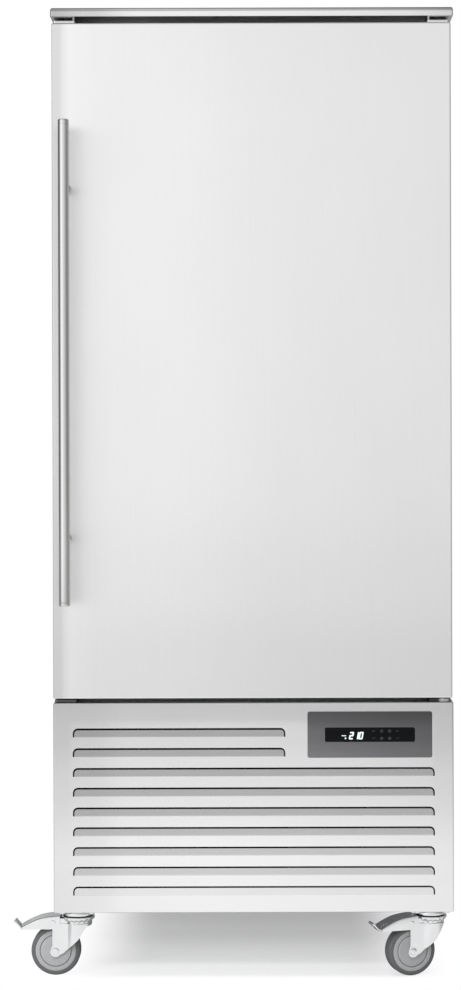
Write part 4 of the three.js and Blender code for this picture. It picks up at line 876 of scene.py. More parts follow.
def cap_lid():
    """Rings stacked upwards: a flat underside, a small lower roll, the wall and the larger roll.

    At an angle t a roll is drawn in by its radius * (1 - cos t) and rises by radius * sin t.
    """
    lower = np.linspace(-np.pi / 2, 0, 6)
    upper = np.linspace(0, np.pi / 2, 11)
    inset = np.concatenate([
        [ROLL_BOTTOM + 3], ROLL_BOTTOM * (1 - np.cos(lower)), ROLL_TOP * (1 - np.cos(upper)), RISES])
    z = np.concatenate([
        [CAP_BOTTOM], CAP_BOTTOM + ROLL_BOTTOM * (1 + np.sin(lower)),
        cap_high[2] - CROWN - ROLL_TOP * (1 - np.sin(upper)), [cap_high[2] - 0.1, cap_high[2]]])
    ends, back = np.interp(inset, FRONT_IN, ENDS_IN), np.interp(inset, FRONT_IN, BACK_IN)
    outlines = [
        rounded((cap_low[0] + e, cap_high[0] - e), (cap_low[1] + d, cap_high[1] - b),
                max(CAP_CORNER - e, LEAST_CORNER), 6)
        for d, e, b in zip(inset, ends, back)]
    return rings(outlines, z, "z")


lid = make("cap_lid", cap_lid(), cap_steel, "root", ["top_cap"], sharp=25)
hollow = rounded((cap_low[0] + HOLLOW_ENDS, cap_high[0] - HOLLOW_ENDS),
                 (BODY_FRONT, cap_high[1] - HOLLOW_BACK), 2)
carve(lid, prism(hollow, (CAP_BOTTOM - 5, cap_high[2] - SHEET), "z"))
# A thin dark sheet under the lid, and the fascia in front of the body, carry the recess's painted shade.
recess_shade_sheet = rounded((cap_low[0] + SHADE_SHEET_ENDS, cap_high[0] - SHADE_SHEET_ENDS),
                 (SHADE_SHEET_FRONT, BODY_FRONT - 0.5), 1.5)
make("cap_shade_sheet", prism(recess_shade_sheet, (CAP_BOTTOM + 0.6, CAP_BOTTOM + 3), "z"),
     painted_recess_shade, "root")
fascia = rounded((-cabinet_half + FASCIA_ENDS, cabinet_half - FASCIA_ENDS),
                 (BODY_FRONT, BODY_FRONT + SHEET), 0.2, 2)
make("cap_fascia", prism(fascia, (CAP_BOTTOM - FASCIA_DROP, CAP_BOTTOM + 0.5), "z"),
     painted_recess_shade, "root")

# %% [markdown]
# ## Louvred panel
#
# This is the feature that takes the most skill. A laser cuts a slot the shape of an inverted U with
# round shoulders, and a tool pushes the tongue inside it inwards, so that it hinges along its bottom
# edge. From the front the cut reads as a dark line along the top and down both sides, and the tongue
# as a grey slope.
#
# The windows are holes in the pan, and each tongue is a surface of its own: rows run up it, first
# round the bend and then straight, and its sides draw in near the top by the shoulder's radius.

# %% Louvres
PANEL_SHEET = 1.5
SHORT_END, FULL_END = 63.6, 362  # where the louvres beside the display end, and the others
LOUVRES = [SHORT_END] * 2 + [FULL_END] * 7  # from the top one down
LOUVRE_LEFT = -361.0
LOUVRE_TOP = 509.0
LOUVRE_PITCH = 39.5
LOUVRE_HEIGHT = 17.6
SHOULDER = 10.0
SIDE_CUT = 2.7
TOP_CUT = 3.4
TILTS = np.radians([21, 21, 21, 20.5, 20.5, 20, 19.5, 19, 16])  # how far each flap leans in
BEND = 1.6
SQUARE = 0.1  # radius of the two corners at the bend
BEHIND_GLASS = (10, 4)  # how far the hole behind the display stays inside the glass, across and up

window_low, window_high = cad_box("display_window")
window_x, window_z = (window_low[0], window_high[0]), (window_low[2], window_high[2])
holes = [((window_x[0] + BEHIND_GLASS[0], window_x[1] - BEHIND_GLASS[0]),
          (window_z[0] + BEHIND_GLASS[1], window_z[1] - BEHIND_GLASS[1]), 3.0)]
for i, right in enumerate(LOUVRES):
    top = LOUVRE_TOP - i * LOUVRE_PITCH
    holes.append(((LOUVRE_LEFT, right), (top - LOUVRE_HEIGHT, top), (SQUARE, SQUARE, SHOULDER, SHOULDER)))
make("louvred_panel", pan((base_low[0], base_high[0]), (base_low[2], base_high[2]), 0, base_high[1],
                          PANEL_SHEET, FOLD, holes=holes), base_steel, "root",
     ["louvred_front_panel"])


def tongue(right, top, tilt):
    """Rows up the tongue: first round the bend, then straight. Its sides draw in by the shoulder.

    Past the shoulder's start by p, a side is drawn in by radius - sqrt(radius^2 - p^2).
    """
    bottom = top - LOUVRE_HEIGHT
    reach = LOUVRE_HEIGHT - TOP_CUT
    radius = SHOULDER - TOP_CUT
    turn = np.linspace(0, tilt, 6)
    plain = reach - BEND * tilt - radius
    shoulder = plain + radius * np.sin(np.linspace(0, np.pi / 2, 12))
    straight = np.concatenate([np.linspace(0, plain, 4)[1:], shoulder[1:]])
    y = np.concatenate([BEND * (1 - np.cos(turn)), BEND * (1 - np.cos(tilt)) + straight * np.sin(tilt)])
    z = bottom + np.concatenate([BEND * np.sin(turn), BEND * np.sin(tilt) + straight * np.cos(tilt)])
    slope = np.concatenate([turn, np.full(len(straight), tilt)])
    up = np.concatenate([BEND * turn, BEND * tilt + straight])
    past = np.clip(up - (reach - radius), 0, radius)
    draw_in = radius - np.sqrt(radius ** 2 - past ** 2)
    left = LOUVRE_LEFT + SIDE_CUT + draw_in
    width = (right - SIDE_CUT - draw_in) - left
    x = left[:, None] + width[:, None] * np.linspace(0, 1, 13)
    front = np.stack(np.broadcast_arrays(x, y[:, None], z[:, None]), -1)
    inward = np.stack([0 * slope, np.cos(slope), -np.sin(slope)], -1)[:, None]
    loop = np.concatenate([front, (front + PANEL_SHEET * inward)[:, ::-1]], axis=1)
    return grid(loop, wrap_columns=True, caps=True)


tongues = together(*[tongue(right, LOUVRE_TOP - i * LOUVRE_PITCH, tilt)
                     for i, (right, tilt) in enumerate(zip(LOUVRES, TILTS))])
make("louvre_tongues", tongues, base_steel, "root", sharp=50)

# %% [markdown]
# ## Control panel
#
# A dark metallic bezel with small round corners frames a strip of black touch glass. Its digits are
# slanted seven-segment figures in a cold white, with a minus sign and a decimal point, and two rows of
# small dim symbols to their right. A picture of the figures would be an image in the file, so each lit
# segment is a thin hexagonal bar on the glass instead, drawn once and placed for each letter of LIT.

# %% Bezel and glass
bezel_low, bezel_high = cad_box("control_bezel")
GLASS_GAP = 0.3  # between the glass and the edge of its hole
CORNER_LOSS = 0.6  # of an inset, how much tighter its ring's corner is


def plate_with_rim(low, high, corner, edge):
    """A plate that faces -y, with a small round edge all round its front."""
    turn = np.linspace(0, np.pi / 2, 6)
    inset = np.concatenate([[0], edge * (1 - np.cos(turn))])
    y = np.concatenate([[high[1]], low[1] + edge * (1 - np.sin(turn))])
    x, z = (low[0], high[0]), (low[2], high[2])
    return rings([drawn_in(x, z, d, corner - d * CORNER_LOSS) for d in inset], y, "y")


bezel = make("bezel_plate", plate_with_rim(bezel_low, bezel_high, 4, 0.8), bezel_metal,
             "root", ["control_bezel"])
carve(bezel, prism(drawn_in(window_x, window_z, -GLASS_GAP, 3.2), (-8, 3), "y"))
make("touch_glass", plate_with_rim(window_low, window_high, 3, 0.4), window_black,
     "root", ["display_window"])
glass_y = window_low[1]

# %% [markdown]
# The figures are placed where the photograph shows them: a pixel is a direction from the camera, and
# the glass is where that direction ends.

# %% Digits
DIGIT_HEIGHT = 12.2
DIGIT_WIDTH = 5.6
SEGMENT = 2.8
SLANT = math.tan(math.radians(10))
LIT = {"2": "abged", "1": "bc", "0": "abcdef"}
FIGURE_PIXELS = {"2": (348.8, 739.0), "1": (354.0, 739.0), "0": (358.4, 739.0)}  # lower left corners
MINUS_PIXEL, DOT_PIXEL = (343.2, 736.0), (344.8, 738.6)
MINUS, DOT = (4.4, 0.8, 0.5), (1.5, 1.5, 0.7)  # half the length, half the height and the corners
LIGHT_ON_GLASS = (glass_y - 0.12, glass_y)


def segment_bar(a, b):
    """A bar with pointed ends between two corners of a digit, slanted as the display is."""
    a, b = np.array(a, float), np.array(b, float)
    run = (b - a) / np.linalg.norm(b - a)
    side = np.array([-run[1], run[0]]) * SEGMENT / 2
    tip = run * SEGMENT / 2
    outline = np.array([a - tip * 0.8, a - tip * 0.3 - side, b + tip * 0.3 - side, b + tip * 0.8,
                        b + tip * 0.3 + side, a - tip * 0.3 + side])
    outline[:, 0] += SLANT * outline[:, 1]
    return outline


def digit(figure, x, z):
    """The lit bars of a seven-segment figure whose lower left corner is at (x, z)."""
    w, h = DIGIT_WIDTH, DIGIT_HEIGHT
    ends = {"a": ((0, h), (w, h)), "b": ((w, h / 2), (w, h)), "c": ((w, 0), (w, h / 2)),
            "d": ((0, 0), (w, 0)), "e": ((0, 0), (0, h / 2)), "f": ((0, h / 2), (0, h)),
            "g": ((0, h / 2), (w, h / 2))}
    return together(*[prism(segment_bar(*ends[bar]) + (x, z), LIGHT_ON_GLASS, "y") for bar in LIT[figure]])


def pixel_to_panel(px, py):
    """The place on the front of the base that a pixel of the photograph shows."""
    depth = -CAMERA[1] + glass_y
    return (px - AXIS_PIXEL[0]) * depth / FOCAL, CAMERA[2] - (py - AXIS_PIXEL[1]) * depth / FOCAL


def lit_bar(pixel, half_x, half_z, corner):
    """A level bar of light about the place that a pixel shows."""
    x, z = pixel_to_panel(*pixel)
    outline = rounded((x - half_x, x + half_x), (z - half_z, z + half_z), corner, 3)
    return prism(outline, LIGHT_ON_GLASS, "y")


figures = [digit(figure, *pixel_to_panel(*pixel)) for figure, pixel in FIGURE_PIXELS.items()]
lit = together(*figures, lit_bar(MINUS_PIXEL, *MINUS), lit_bar(DOT_PIXEL, *DOT))
make("display_figures", lit, lit_segment, "root")

# %% [markdown]
# The symbols are generic, four to a row: each is two small marks out of a triangle, a diamond, a bar
# and an upright, and the middle ones stand in a ring.


# %% Touch symbols
MARK = 0.1  # millimetres that a symbol stands on the glass


def ring(x, z, outer, inner, sides=24):
    """A flat ring on the glass."""
    angle = np.linspace(0, 2 * np.pi, sides, endpoint=False)
    radius = np.array([outer, outer, inner, inner])[:, None]
    y = np.array([glass_y, glass_y - MARK, glass_y - MARK, glass_y])[:, None] + 0 * angle
    points = lay(x + radius * np.cos(angle), z + radius * np.sin(angle), y, "y")
    return grid(points, wrap_rows=True, wrap_columns=True)


def flat_mark(outline, x, z, offset, size):
    """An outline on the glass beside (x, z), scaled to its size in millimetres."""
    x, z = x + offset[0], z + offset[1]
    return prism(np.asarray(outline, float) * size + (x, z), (glass_y - MARK, glass_y), "y")


TRIANGLE = [(-0.5, -0.4), (0.5, -0.4), (0, 0.5)]
DIAMOND = [(0, -0.5), (0.35, 0), (0, 0.5), (-0.35, 0)]
BAR = [(-0.6, -0.12), (0.6, -0.12), (0.6, 0.12), (-0.6, 0.12)]
UPRIGHT = [(-0.1, -0.5), (0.1, -0.5), (0.1, 0.5), (-0.1, 0.5)]
SYMBOLS = {  # the height of a row in the photograph, and its pairs of marks
    731.5: [(TRIANGLE, BAR), (UPRIGHT, BAR), (BAR, DIAMOND), (DIAMOND, UPRIGHT)],
    738.7: [(DIAMOND, BAR), (BAR, BAR), (TRIANGLE, DIAMOND), (UPRIGHT, UPRIGHT)]}
COLUMN_PIXELS = (373, 381, 389, 397)
RINGED = (381, 389)
FIRST = ((-1.6, 0.0), 2.6)  # where a pair's marks stand about its middle, and their sizes
SECOND = ((1.8, 0.6), 2.2)
RING = (2.7, 2.1)  # outer and inner radius
symbols = []
for pixel_y, pairs in SYMBOLS.items():
    for pixel_x, (first, second) in zip(COLUMN_PIXELS, pairs):
        x, z = pixel_to_panel(pixel_x, pixel_y)
        symbols += [flat_mark(first, x, z, *FIRST), flat_mark(second, x, z, *SECOND)]
        if pixel_x in RINGED:
            symbols.append(ring(x, z, *RING))
# The symbols glow faintly: painted light on print.
make("touch_symbols", together(*symbols), painted_icon_glow, "root")

# %% [markdown]
# ## Castors
#
# Four castors carry the machine. Each is drawn about its swivel axis, trailing towards -x, with the
# floor at z = 0, and is then turned to the angle it was left at. The place is read from the model, as
# the middle of the castor's top plate, and the angles are the model's own.

# %% Castor layout
SWIVELS = {"front_left": 0, "front_right": 17, "rear_left": 0, "rear_right": 10}  # degrees
TRAIL = 44.0
WHEEL = 50.0


def turned_to(x, y, degrees):
    """A function that turns points about the castor's upright axis and moves them to its corner."""
    c, s = math.cos(math.radians(degrees)), math.sin(math.radians(degrees))
    turn = np.array([[c, s, 0], [-s, c, 0], [0, 0, 1]])
    return lambda points: points @ turn + np.array([x, y, 0])


# %% [markdown]
# The wheel: a dark tread with a lighter side wall moulded in one with the grey core, and a thread
# guard whose rim casts a thin dark ring. Both are profiles turned about the axle. The profiles close
# on themselves, so that the tread is a solid band and the core is bored.


# %% Wheel
TREAD_HALF = 15.5
SHOULDER_ROUND = 6.0


def arc(cx, cy, radius, start, end, steps):
    """Points on an arc, by angles in degrees."""
    angle = np.radians(np.linspace(start, end, steps))
    return np.column_stack([cx + radius * np.cos(angle), cy + radius * np.sin(angle)])


def tread():
    """The running band: almost flat, with soft shoulders that reach a little down each side."""
    half = TREAD_HALF
    shoulder = arc(WHEEL - SHOULDER_ROUND, half - SHOULDER_ROUND, SHOULDER_ROUND, 0, 68, 8)
    right = np.vstack([
        shoulder, [(WHEEL - 8.4, half - 0.25), (WHEEL - 8.8, half - 1.2), (WHEEL - 10, half - 1.4)]])
    inner = [(34.2, half - 1.4), (34.2, -half + 1.4)]
    profile = np.vstack([right[::-1] * (1, -1), [(WHEEL, 0)], right, inner])
    return turned(np.vstack([profile, profile[:1]]), "y", (-TRAIL, 0, WHEEL), 96)


def wheel_core():
    """Side wall, the groove round the thread guard, the guard itself and the bore."""
    half = TREAD_HALF
    side = [(41.4, half - 1.3), (40.8, half - 0.3), (39.6, half), (34, half + 0.15), (32.8, half + 0.1),
            (32.4, half - 0.6), (32.2, half - 2.6), (31.1, half - 2.6), (30.9, half - 0.2),
            (30.4, half + 0.6), (29, half + 0.85), (18, half + 1.0), (6.4, half + 1.0)]
    profile = two_sided(side)
    return turned(profile + profile[:1], "y", (-TRAIL, 0, WHEEL), 96)


# %% [markdown]
# The fork is pressed from one sheet of steel and zinc-plated. Each leg is a flat plate in front, and
# behind it a slanted facet leads the metal out to a nearly upright round that ends in the head. A
# horizontal section at height z is therefore a flat stretch, a slope and an arc, and the leg ends where
# the swept trailing edge cuts it. No modifier gives such a run from flat to round, but two formulas
# and a soft maximum do.


# %% Fork
AXLE = np.array([-TRAIL, WHEEL])
LEG_Y = 20.4
FORK_SHEET = 2.8
FACET_START, FACET_SLOPE = -19.5, math.tan(math.radians(44))  # where the press draws the leg outwards
HEAD_FOOT, HEAD_RADIUS = 29.6, 31.0  # radius of the round behind the legs, low down and at the head
HEAD_BOTTOM, HEAD_TOP = 60.0, 108.0  # heights between which it grows from the one to the other
HEAD_GROWTH = 1.1  # and the power of the height by which it does
BLEND = 0.6  # millimetres over which the press runs one face into the next
LOBE, LOBE_Z = 10.7, WHEEL - 1  # the round foot about the axle, and its middle
EAR_START = 101.9  # the height where the leading edge turns into the ear
EDGE_TOP, HOOD_BACK = 106.5, -20.0  # over this height the trailing edge stands here
LEG_TOP = 116.4
EAR = np.array([-TRAIL - 3.8, WHEEL + 59.2])
EAR_RADIUS = 7.5
TRAILING_EDGE = AXLE + np.array([(7.5, -8.6), (17, -3), (31, 10), (46.5, 24.5), (59, 44.3), (66, 54.5)])


def soft_maximum(a, b):
    """The larger of two widths, eased by s * ln(1 + e^(-|a - b| / s)) with s the blend."""
    return np.maximum(a, b) + BLEND * np.log1p(np.exp(-np.abs(a - b) / BLEND))


def fork_half(side):
    """One leg as a grid: rows go up, columns go from the leading to the trailing edge.

    The half width is a soft maximum of the flat plate and the head: its circle at that height, or the
    slanted facet that leads out to it where that is less.
    """
    z = np.concatenate([np.linspace(LOBE_Z - LOBE, LOBE_Z, 12), np.linspace(WHEEL + 2, 106, 34),
                        np.linspace(107, LEG_TOP, 9)])
    low = np.sqrt(np.clip(LOBE ** 2 - (z - LOBE_Z) ** 2, 0, None))
    stem = np.interp(z, [WHEEL, WHEEL + 12, 94, EAR_START], [-LOBE, -6.5, -6.3, -8.0])
    ear = -np.sqrt(np.clip(EAR_RADIUS ** 2 - (z - EAR[1]) ** 2, 0, None)) + EAR[0] - AXLE[0]
    front = np.where(z < WHEEL, -low, np.where(z < EAR_START, stem, ear)) + AXLE[0]
    edge = np.interp(z, TRAILING_EDGE[:, 1], TRAILING_EDGE[:, 0])
    back = np.where(z < WHEEL - 6.8, low + AXLE[0], edge)
    back = np.where(z > EDGE_TOP, HOOD_BACK, back)
    share = np.linspace(0, 1, 56)
    x = front[:, None] + (back - front)[:, None] * share
    grow = np.clip((z - HEAD_BOTTOM) / (HEAD_TOP - HEAD_BOTTOM), 0, 1) ** HEAD_GROWTH
    radius = (HEAD_FOOT + (HEAD_RADIUS - HEAD_FOOT) * grow)[:, None]
    circle = np.sqrt(np.clip(radius ** 2 - x ** 2, 0, None))
    facet = LEG_Y + (x - FACET_START) * FACET_SLOPE
    head = -soft_maximum(-circle, -facet)
    width = np.where(x > 6, circle, soft_maximum(head, LEG_Y))
    heights = np.broadcast_to(z[:, None], x.shape)
    outer = np.stack([x, side * width, heights], -1)
    inner = np.stack([x, side * (width - FORK_SHEET), heights], -1)
    loop = np.concatenate([outer, inner[:, ::-1]], axis=1)
    return grid(loop, wrap_columns=True, caps=True)


BALLS = 18  # dimples round the race


def fork_head():
    """The round head over the legs, and its race: a flange whose underside is dimpled over the balls.

    At an angle t, each point of the profile stands out by its dimple * cos(balls * t).
    """
    profile = np.array([
        (0, 108), (24.8, 108), (25.2, 101), (27.4, 100.4), (28.4, 102), (28.6, 108), (29.2, 111),
        (31.4, 112.6), (33.2, 115), (34, 117.2), (33.8, 118.8), (32.6, 119.6), (22, 119.9), (21.9, 120.6),
        (0, 120.8)])
    dimple = np.array([0, 0, 0, 0, 0, 0, 0.5, 1.0, 0.8, 0.2, 0, 0, 0, 0, 0])
    turn = np.linspace(0, 2 * np.pi, 144, endpoint=False)[:, None]
    radius = profile[:, 0] + dimple * np.cos(BALLS * turn)
    points = np.stack(np.broadcast_arrays(radius * np.cos(turn), radius * np.sin(turn), profile[:, 1]), -1)
    return grid(points, wrap_rows=True)


def hexagon(x, y, radius, start):
    """Six corners about a point, the first at an angle in degrees."""
    angle = np.radians(start + 60 * np.arange(6))
    return np.column_stack([x + radius * np.cos(angle), y + radius * np.sin(angle)])


def axle_bolt():
    """The axle's domed head, with two slanted raised bars on it, and its nut on the other side."""
    face = -(LEG_Y + 2.6)
    head = turned([(0, face), (5.2, face + 0.1), (6.6, face + 0.6), (7.2, face + 1.6), (7.2, face + 2.0),
                   (8.8, face + 2.1), (8.9, -19), (0, -19)], "y", (-TRAIL, 0, WHEEL), 48)
    slant = math.radians(28)
    lean = np.array([[math.cos(slant), -math.sin(slant)], [math.sin(slant), math.cos(slant)]])
    bars = []
    for at in (-2.3, 2.3):
        outline = rounded((at - 0.9, at + 0.9), (-3.4, 3.4), 0.9, 4) @ lean + (-TRAIL, WHEEL)
        bars.append(prism(outline, (face - 0.7, face + 1), "y"))
    nut = prism(hexagon(-TRAIL, WHEEL, 8.6, 30), (19, -face), "y")
    rod = turned([(0, -20), (5.9, -20), (5.9, 20), (0, 20)], "y", (-TRAIL, 0, WHEEL), 32)
    return together(head, nut, rod, *bars)


# %% [markdown]
# Over the fork sit the swivel race and the top plate. The race is a pressed cup: a bright lower ring, a
# dark gap where the balls run, and a second ring above it. Four bolts hold the plate to the chassis.
# The gap is a piece of its own: a dull black ring, painted shade that reads as the shadowed gap from
# every side.


# %% Swivel race and plate
_, plate_high = cad_box("front_left_castor_plate")


def swivel_cup():
    """The cup under the plate, and the kingpin's riveted head under the fork."""
    top = plate_high[2]
    cup = turned([(0, top - 2), (24, top - 2), (24.5, top - 3.4), (29.6, 131), (31, 128.4), (31.6, 124.4),
                  (31.2, 122.2), (30, 121.6), (24, 121.6), (23.6, 122.6), (0, 122.6)], "z", sides=72)
    rivet = [(0, 103.9), (8, 103.9), (11.4, 105), (12, 106.8), (11.8, 107.6), (0, 107.6)]
    return together(cup, turned(rivet, "z", sides=40))


def ball_gap_shade():
    """A dull black ring between the cup and the fork's head: painted shade for the race's gap."""
    return turned([(19, 120.0), (29.6, 120.0), (30, 121.5), (19, 121.5), (19, 120.0)], "z", sides=64)


def top_plate():
    """A pressed plate with round corners and four bolt heads beside the cup."""
    top = plate_high[2]
    sheet = rings([drawn_in((-40, 40), (-50, 50), d, 8 - d) for d in (0.6, 0, 0, 0.6)],
                  (top - 3, top - 2.5, top - 0.5, top), "z")
    ring_under = [(0, top - 4.6), (8.6, top - 4.6), (8.8, top - 3.2), (8.8, top - 2.6), (0, top - 2.6)]
    bolts = []
    for bx in (-30, 30):
        for by in (-39, 39):
            washer = turned(ring_under, "z", (bx, by, 0), 32)
            bolts += [prism(hexagon(bx, by, 7.2, 15), (top - 9, top - 4.4), "z"), washer]
    return together(sheet, *bolts)


# %% [markdown]
# The brake pedal is an arched channel that straddles the fork. Its top is a broad strip that falls from
# the pivot towards the toe, its two cheeks hang down outside the legs, and the toe ends in a thick lip
# that is folded up for the shoe. The strip carries three pressed bars where the foot pushes. Two
# curves through a few listed points give the strip's line and the cheeks' lower edge, and the
# same folded section is carried between them.

# %% Brake pedal
PEDAL_HALF = 24.0
PEDAL_SHEET = 2.0
ARCH = AXLE + np.array([
    (9.5, 72.3), (2, 72.0), (-10, 71), (-22, 69.3), (-34, 66.4), (-47, 61.3), (-59, 55.4), (-70.5, 49.2)])
CHEEK = AXLE + np.array([
    (8.5, 53.5), (2, 47.5), (-10, 45.3), (-22, 45.3), (-34, 45.3), (-47, 45.3), (-60, 45.3), (-70.5, 47.0)])
PEDAL_FOLD = 3.0
LIP_START = AXLE + np.array([-70.0, 45.6])
LIP_RUN = np.array([-17.3, 18.1])  # the way in which the lip points
LIP_HALF_SHEET = 1.6
LIP_HALF = 14.0
LIP_SHRINK = 0.3  # how much smaller the lip is at its round ends
LIP_LENGTH = 18
LIP_ROLL = 2.6
BAR_STEPS = (80, 86, 92)  # hundredths of the way along the strip where the raised bars are
BAR_HALF = 9


def smooth_line(points, steps):
    """A Catmull-Rom curve through given points, worked out for all steps at once.

    Between b and c, at the share f, it is half of
    2b + (c - a) f + (2a - 5b + 4c - d) f^2 + (3b - a - 3c + d) f^3.
    """
    points = np.asarray(points, float)
    padded = np.vstack([2 * points[0] - points[1], points, 2 * points[-1] - points[-2]])
    t = np.linspace(0, len(points) - 1, steps)
    i = np.minimum(t.astype(int), len(points) - 2)
    f = (t - i)[:, None]
    a, b, c, d = padded[i], padded[i + 1], padded[i + 2], padded[i + 3]
    bend, twist = 2 * a - 5 * b + 4 * c - d, 3 * b - a - 3 * c + d
    return 0.5 * (2 * b + (c - a) * f + bend * f ** 2 + twist * f ** 3)


def pedal_channel():
    """Rows run from heel to toe. Across, the section is cheek, round fold, top strip, fold, cheek.

    At an angle t, a fold lies radius * (1 - cos t) in from the cheek and radius * (1 - sin t) down.
    """
    top, bottom = smooth_line(ARCH, 44), smooth_line(CHEEK, 44)
    fold = np.linspace(0, np.pi / 2, 6)
    radius = PEDAL_FOLD

    def section(half, lift):
        """One skin of the channel: half its width, and how far it lies under the strip's line."""
        y = np.concatenate([[-half, -half], -half + radius * (1 - np.cos(fold)),
                            half - radius * (1 - np.cos(fold[::-1])), [half, half]])
        down = np.concatenate([[1, 0.5], np.zeros(2 * len(fold)), [0.5, 1]])
        fall = radius * (1 - np.sin(fold))
        under = np.concatenate([[0, 0], fall, fall[::-1], [0, 0]])
        depth = np.clip((top[:, 1] - bottom[:, 1])[:, None], radius + 0.2, None)
        z = top[:, 1:] - lift - np.where(down > 0, radius + down * (depth - radius), under)
        x = top[:, :1] + (bottom - top)[:, :1] * down
        return np.stack([x, np.broadcast_to(y, x.shape), z], -1)

    outer = section(PEDAL_HALF, 0)
    inner = section(PEDAL_HALF - PEDAL_SHEET, PEDAL_SHEET)
    inner[:, [0, -1], 2] = outer[:, [0, -1], 2]
    return grid(np.concatenate([outer, inner[:, ::-1]], axis=1), wrap_columns=True, caps=True)


def pedal_lip():
    """The toe's lip: the strip's end folded up and forward, with a rolled outer edge.

    The outline is repeated across the pedal and shrunk about its middle towards both ends, to
    1 - shrink * (1 - cos t) of its size, so that the ends are round.
    """
    run = LIP_RUN / np.linalg.norm(LIP_RUN)
    side = np.array([run[1], -run[0]])
    start, end = LIP_START, LIP_START + run * LIP_LENGTH
    angle = np.linspace(-np.pi * 0.75, np.pi * 0.75, 16)[:, None]
    tip = end + LIP_ROLL * (np.cos(angle) * run + np.sin(angle) * -side)
    outline = np.vstack([start + LIP_HALF_SHEET * side, tip, start - LIP_HALF_SHEET * side])
    centre = (start + end) / 2
    turn = np.linspace(0, np.pi / 2, 6)
    share = np.concatenate([np.cos(turn[::-1]), np.cos(turn)]) * LIP_SHRINK + (1 - LIP_SHRINK)
    round_ends = np.concatenate([-np.sin(turn[::-1]), np.sin(turn)]) * LIP_ROLL
    across = round_ends + np.repeat([-1, 1], 6) * (LIP_HALF - LIP_ROLL)
    return rings([centre + (outline - centre) * s for s in share], across, "y")


def pedal_rivet():
    """The pivot's rivet, domed on both cheeks."""
    cap = [(0, PEDAL_HALF + 1.1), (2.5, PEDAL_HALF + 1), (4.2, PEDAL_HALF + 0.6), (5, PEDAL_HALF - 0.4)]
    return turned(two_sided(cap), "y", (EAR[0], 0, EAR[1]), 40)


def pedal_pad():
    """The brake's rubber pad in its steel holder under the strip."""
    x = AXLE[0] + np.array([-23, -9])
    return rings([drawn_in(x, (-12, 12), d, 2) for d in (1.0, 0, 0)],
                 (WHEEL + 52.6, WHEEL + 53.8, WHEEL + 64), "z")


def pedal_marks():
    """Three raised bars across the strip near the toe."""
    marks = []
    for x, z in smooth_line(ARCH, 101)[list(BAR_STEPS)]:
        outlines = [drawn_in((x - 1.6, x + 1.6), (-BAR_HALF, BAR_HALF), d, 1.2 - d) for d in (0, 0, 0.7)]
        marks.append(rings(outlines, (z - 1.5, z + 0.4, z + 1.1), "z"))
    return together(*marks)


# %% [markdown]
# Everything about a castor is drawn once and placed four times. What swivels is turned to the castor's
# own angle, and what is bolted to the chassis isn't. Only the front ones have a brake.

# %% Four castors, each on its own corner
for name, degrees in SWIVELS.items():
    cx, cy, _ = np.mean(cad_box(f"{name}_castor_plate"), axis=0)
    trailing, still = turned_to(cx, cy, degrees), turned_to(cx, cy, 0)
    wheel, swivel, brake = f"{name}_wheel", f"{name}_swivel", f"{name}_brake"
    make(f"{name}_tread", moved(tread(), trailing), tyre_rubber, wheel, [f"{name}_tyre"])
    make(f"{name}_core", moved(wheel_core(), trailing), hub_plastic, wheel,
         [f"{name}_hub"], sharp=50)
    fork = together(fork_half(-1), fork_half(1), fork_head(), axle_bolt())
    make(f"{name}_fork", moved(fork, trailing), zinc, swivel, [f"{name}_castor_fork"], sharp=40)
    make(f"{name}_plate", moved(together(top_plate(), swivel_cup()), still), zinc, "root",
         [f"{name}_castor_plate"], sharp=40)
    # A dull black ring in the race: painted shade for its shadowed gap.
    make(f"{name}_race_shade", moved(ball_gap_shade(), still), gap_shade_black, "root")
    if name.startswith("front"):
        metal = together(pedal_channel(), pedal_lip(), pedal_rivet(), pedal_marks())
        make(f"{name}_pedal", moved(metal, trailing), zinc, brake,
             [f"{name}_brake_pedal"], sharp=40)
        make(f"{name}_brake_pad", moved(pedal_pad(), trailing), brake_pad, brake)

# %% [markdown]
# ## Inside the cabinet
#
# Opened, the door shows a pressed liner with coved corners, the tray racks, and the baffle with its two
# fans. The liner is a pan seen from inside: its rings run from the back round the coved corners to the
# mouth, and back outside. Each fan mouth is cut through the baffle and has a guard of wire rings.


# %% Liner
tank_low, tank_high = cad_box("inner_liner")
MOUTH_LIP = 10
COVE = 20
TANK_SHEET = 1


def liner():
    """The flange round the mouth, the coved walls and the back, with its sheet's thickness.

    At an angle t the cove is drawn in by its radius * (1 - cos t), radius * (1 - sin t) off the back.
    """
    turn = np.linspace(0, np.pi / 2, 8)
    back, wall = tank_high[1], MOUTH_LIP + TANK_SHEET
    cove_in, cove_off = COVE * (1 - np.cos(turn)), COVE * (1 - np.sin(turn))
    inner_inset = np.concatenate([[wall], wall + cove_in])
    inner_y = np.concatenate([[BODY_FRONT], back - TANK_SHEET - cove_off])
    outer_inset = np.concatenate([[0, 0, MOUTH_LIP], MOUTH_LIP + cove_in])
    flange = BODY_FRONT + TANK_SHEET
    outer_y = np.concatenate([[BODY_FRONT, flange, flange], back - cove_off])
    inset = np.concatenate([inner_inset[::-1], outer_inset])
    y = np.concatenate([inner_y[::-1], outer_y])
    x, z = (tank_low[0], tank_high[0]), (tank_low[2], tank_high[2])
    outlines = [drawn_in(x, z, d, COVE + MOUTH_LIP - min(d, MOUTH_LIP)) for d in inset]
    return rings(outlines, y, "y")


make("chamber_liner", liner(), inner_steel, "root", ["inner_liner"])

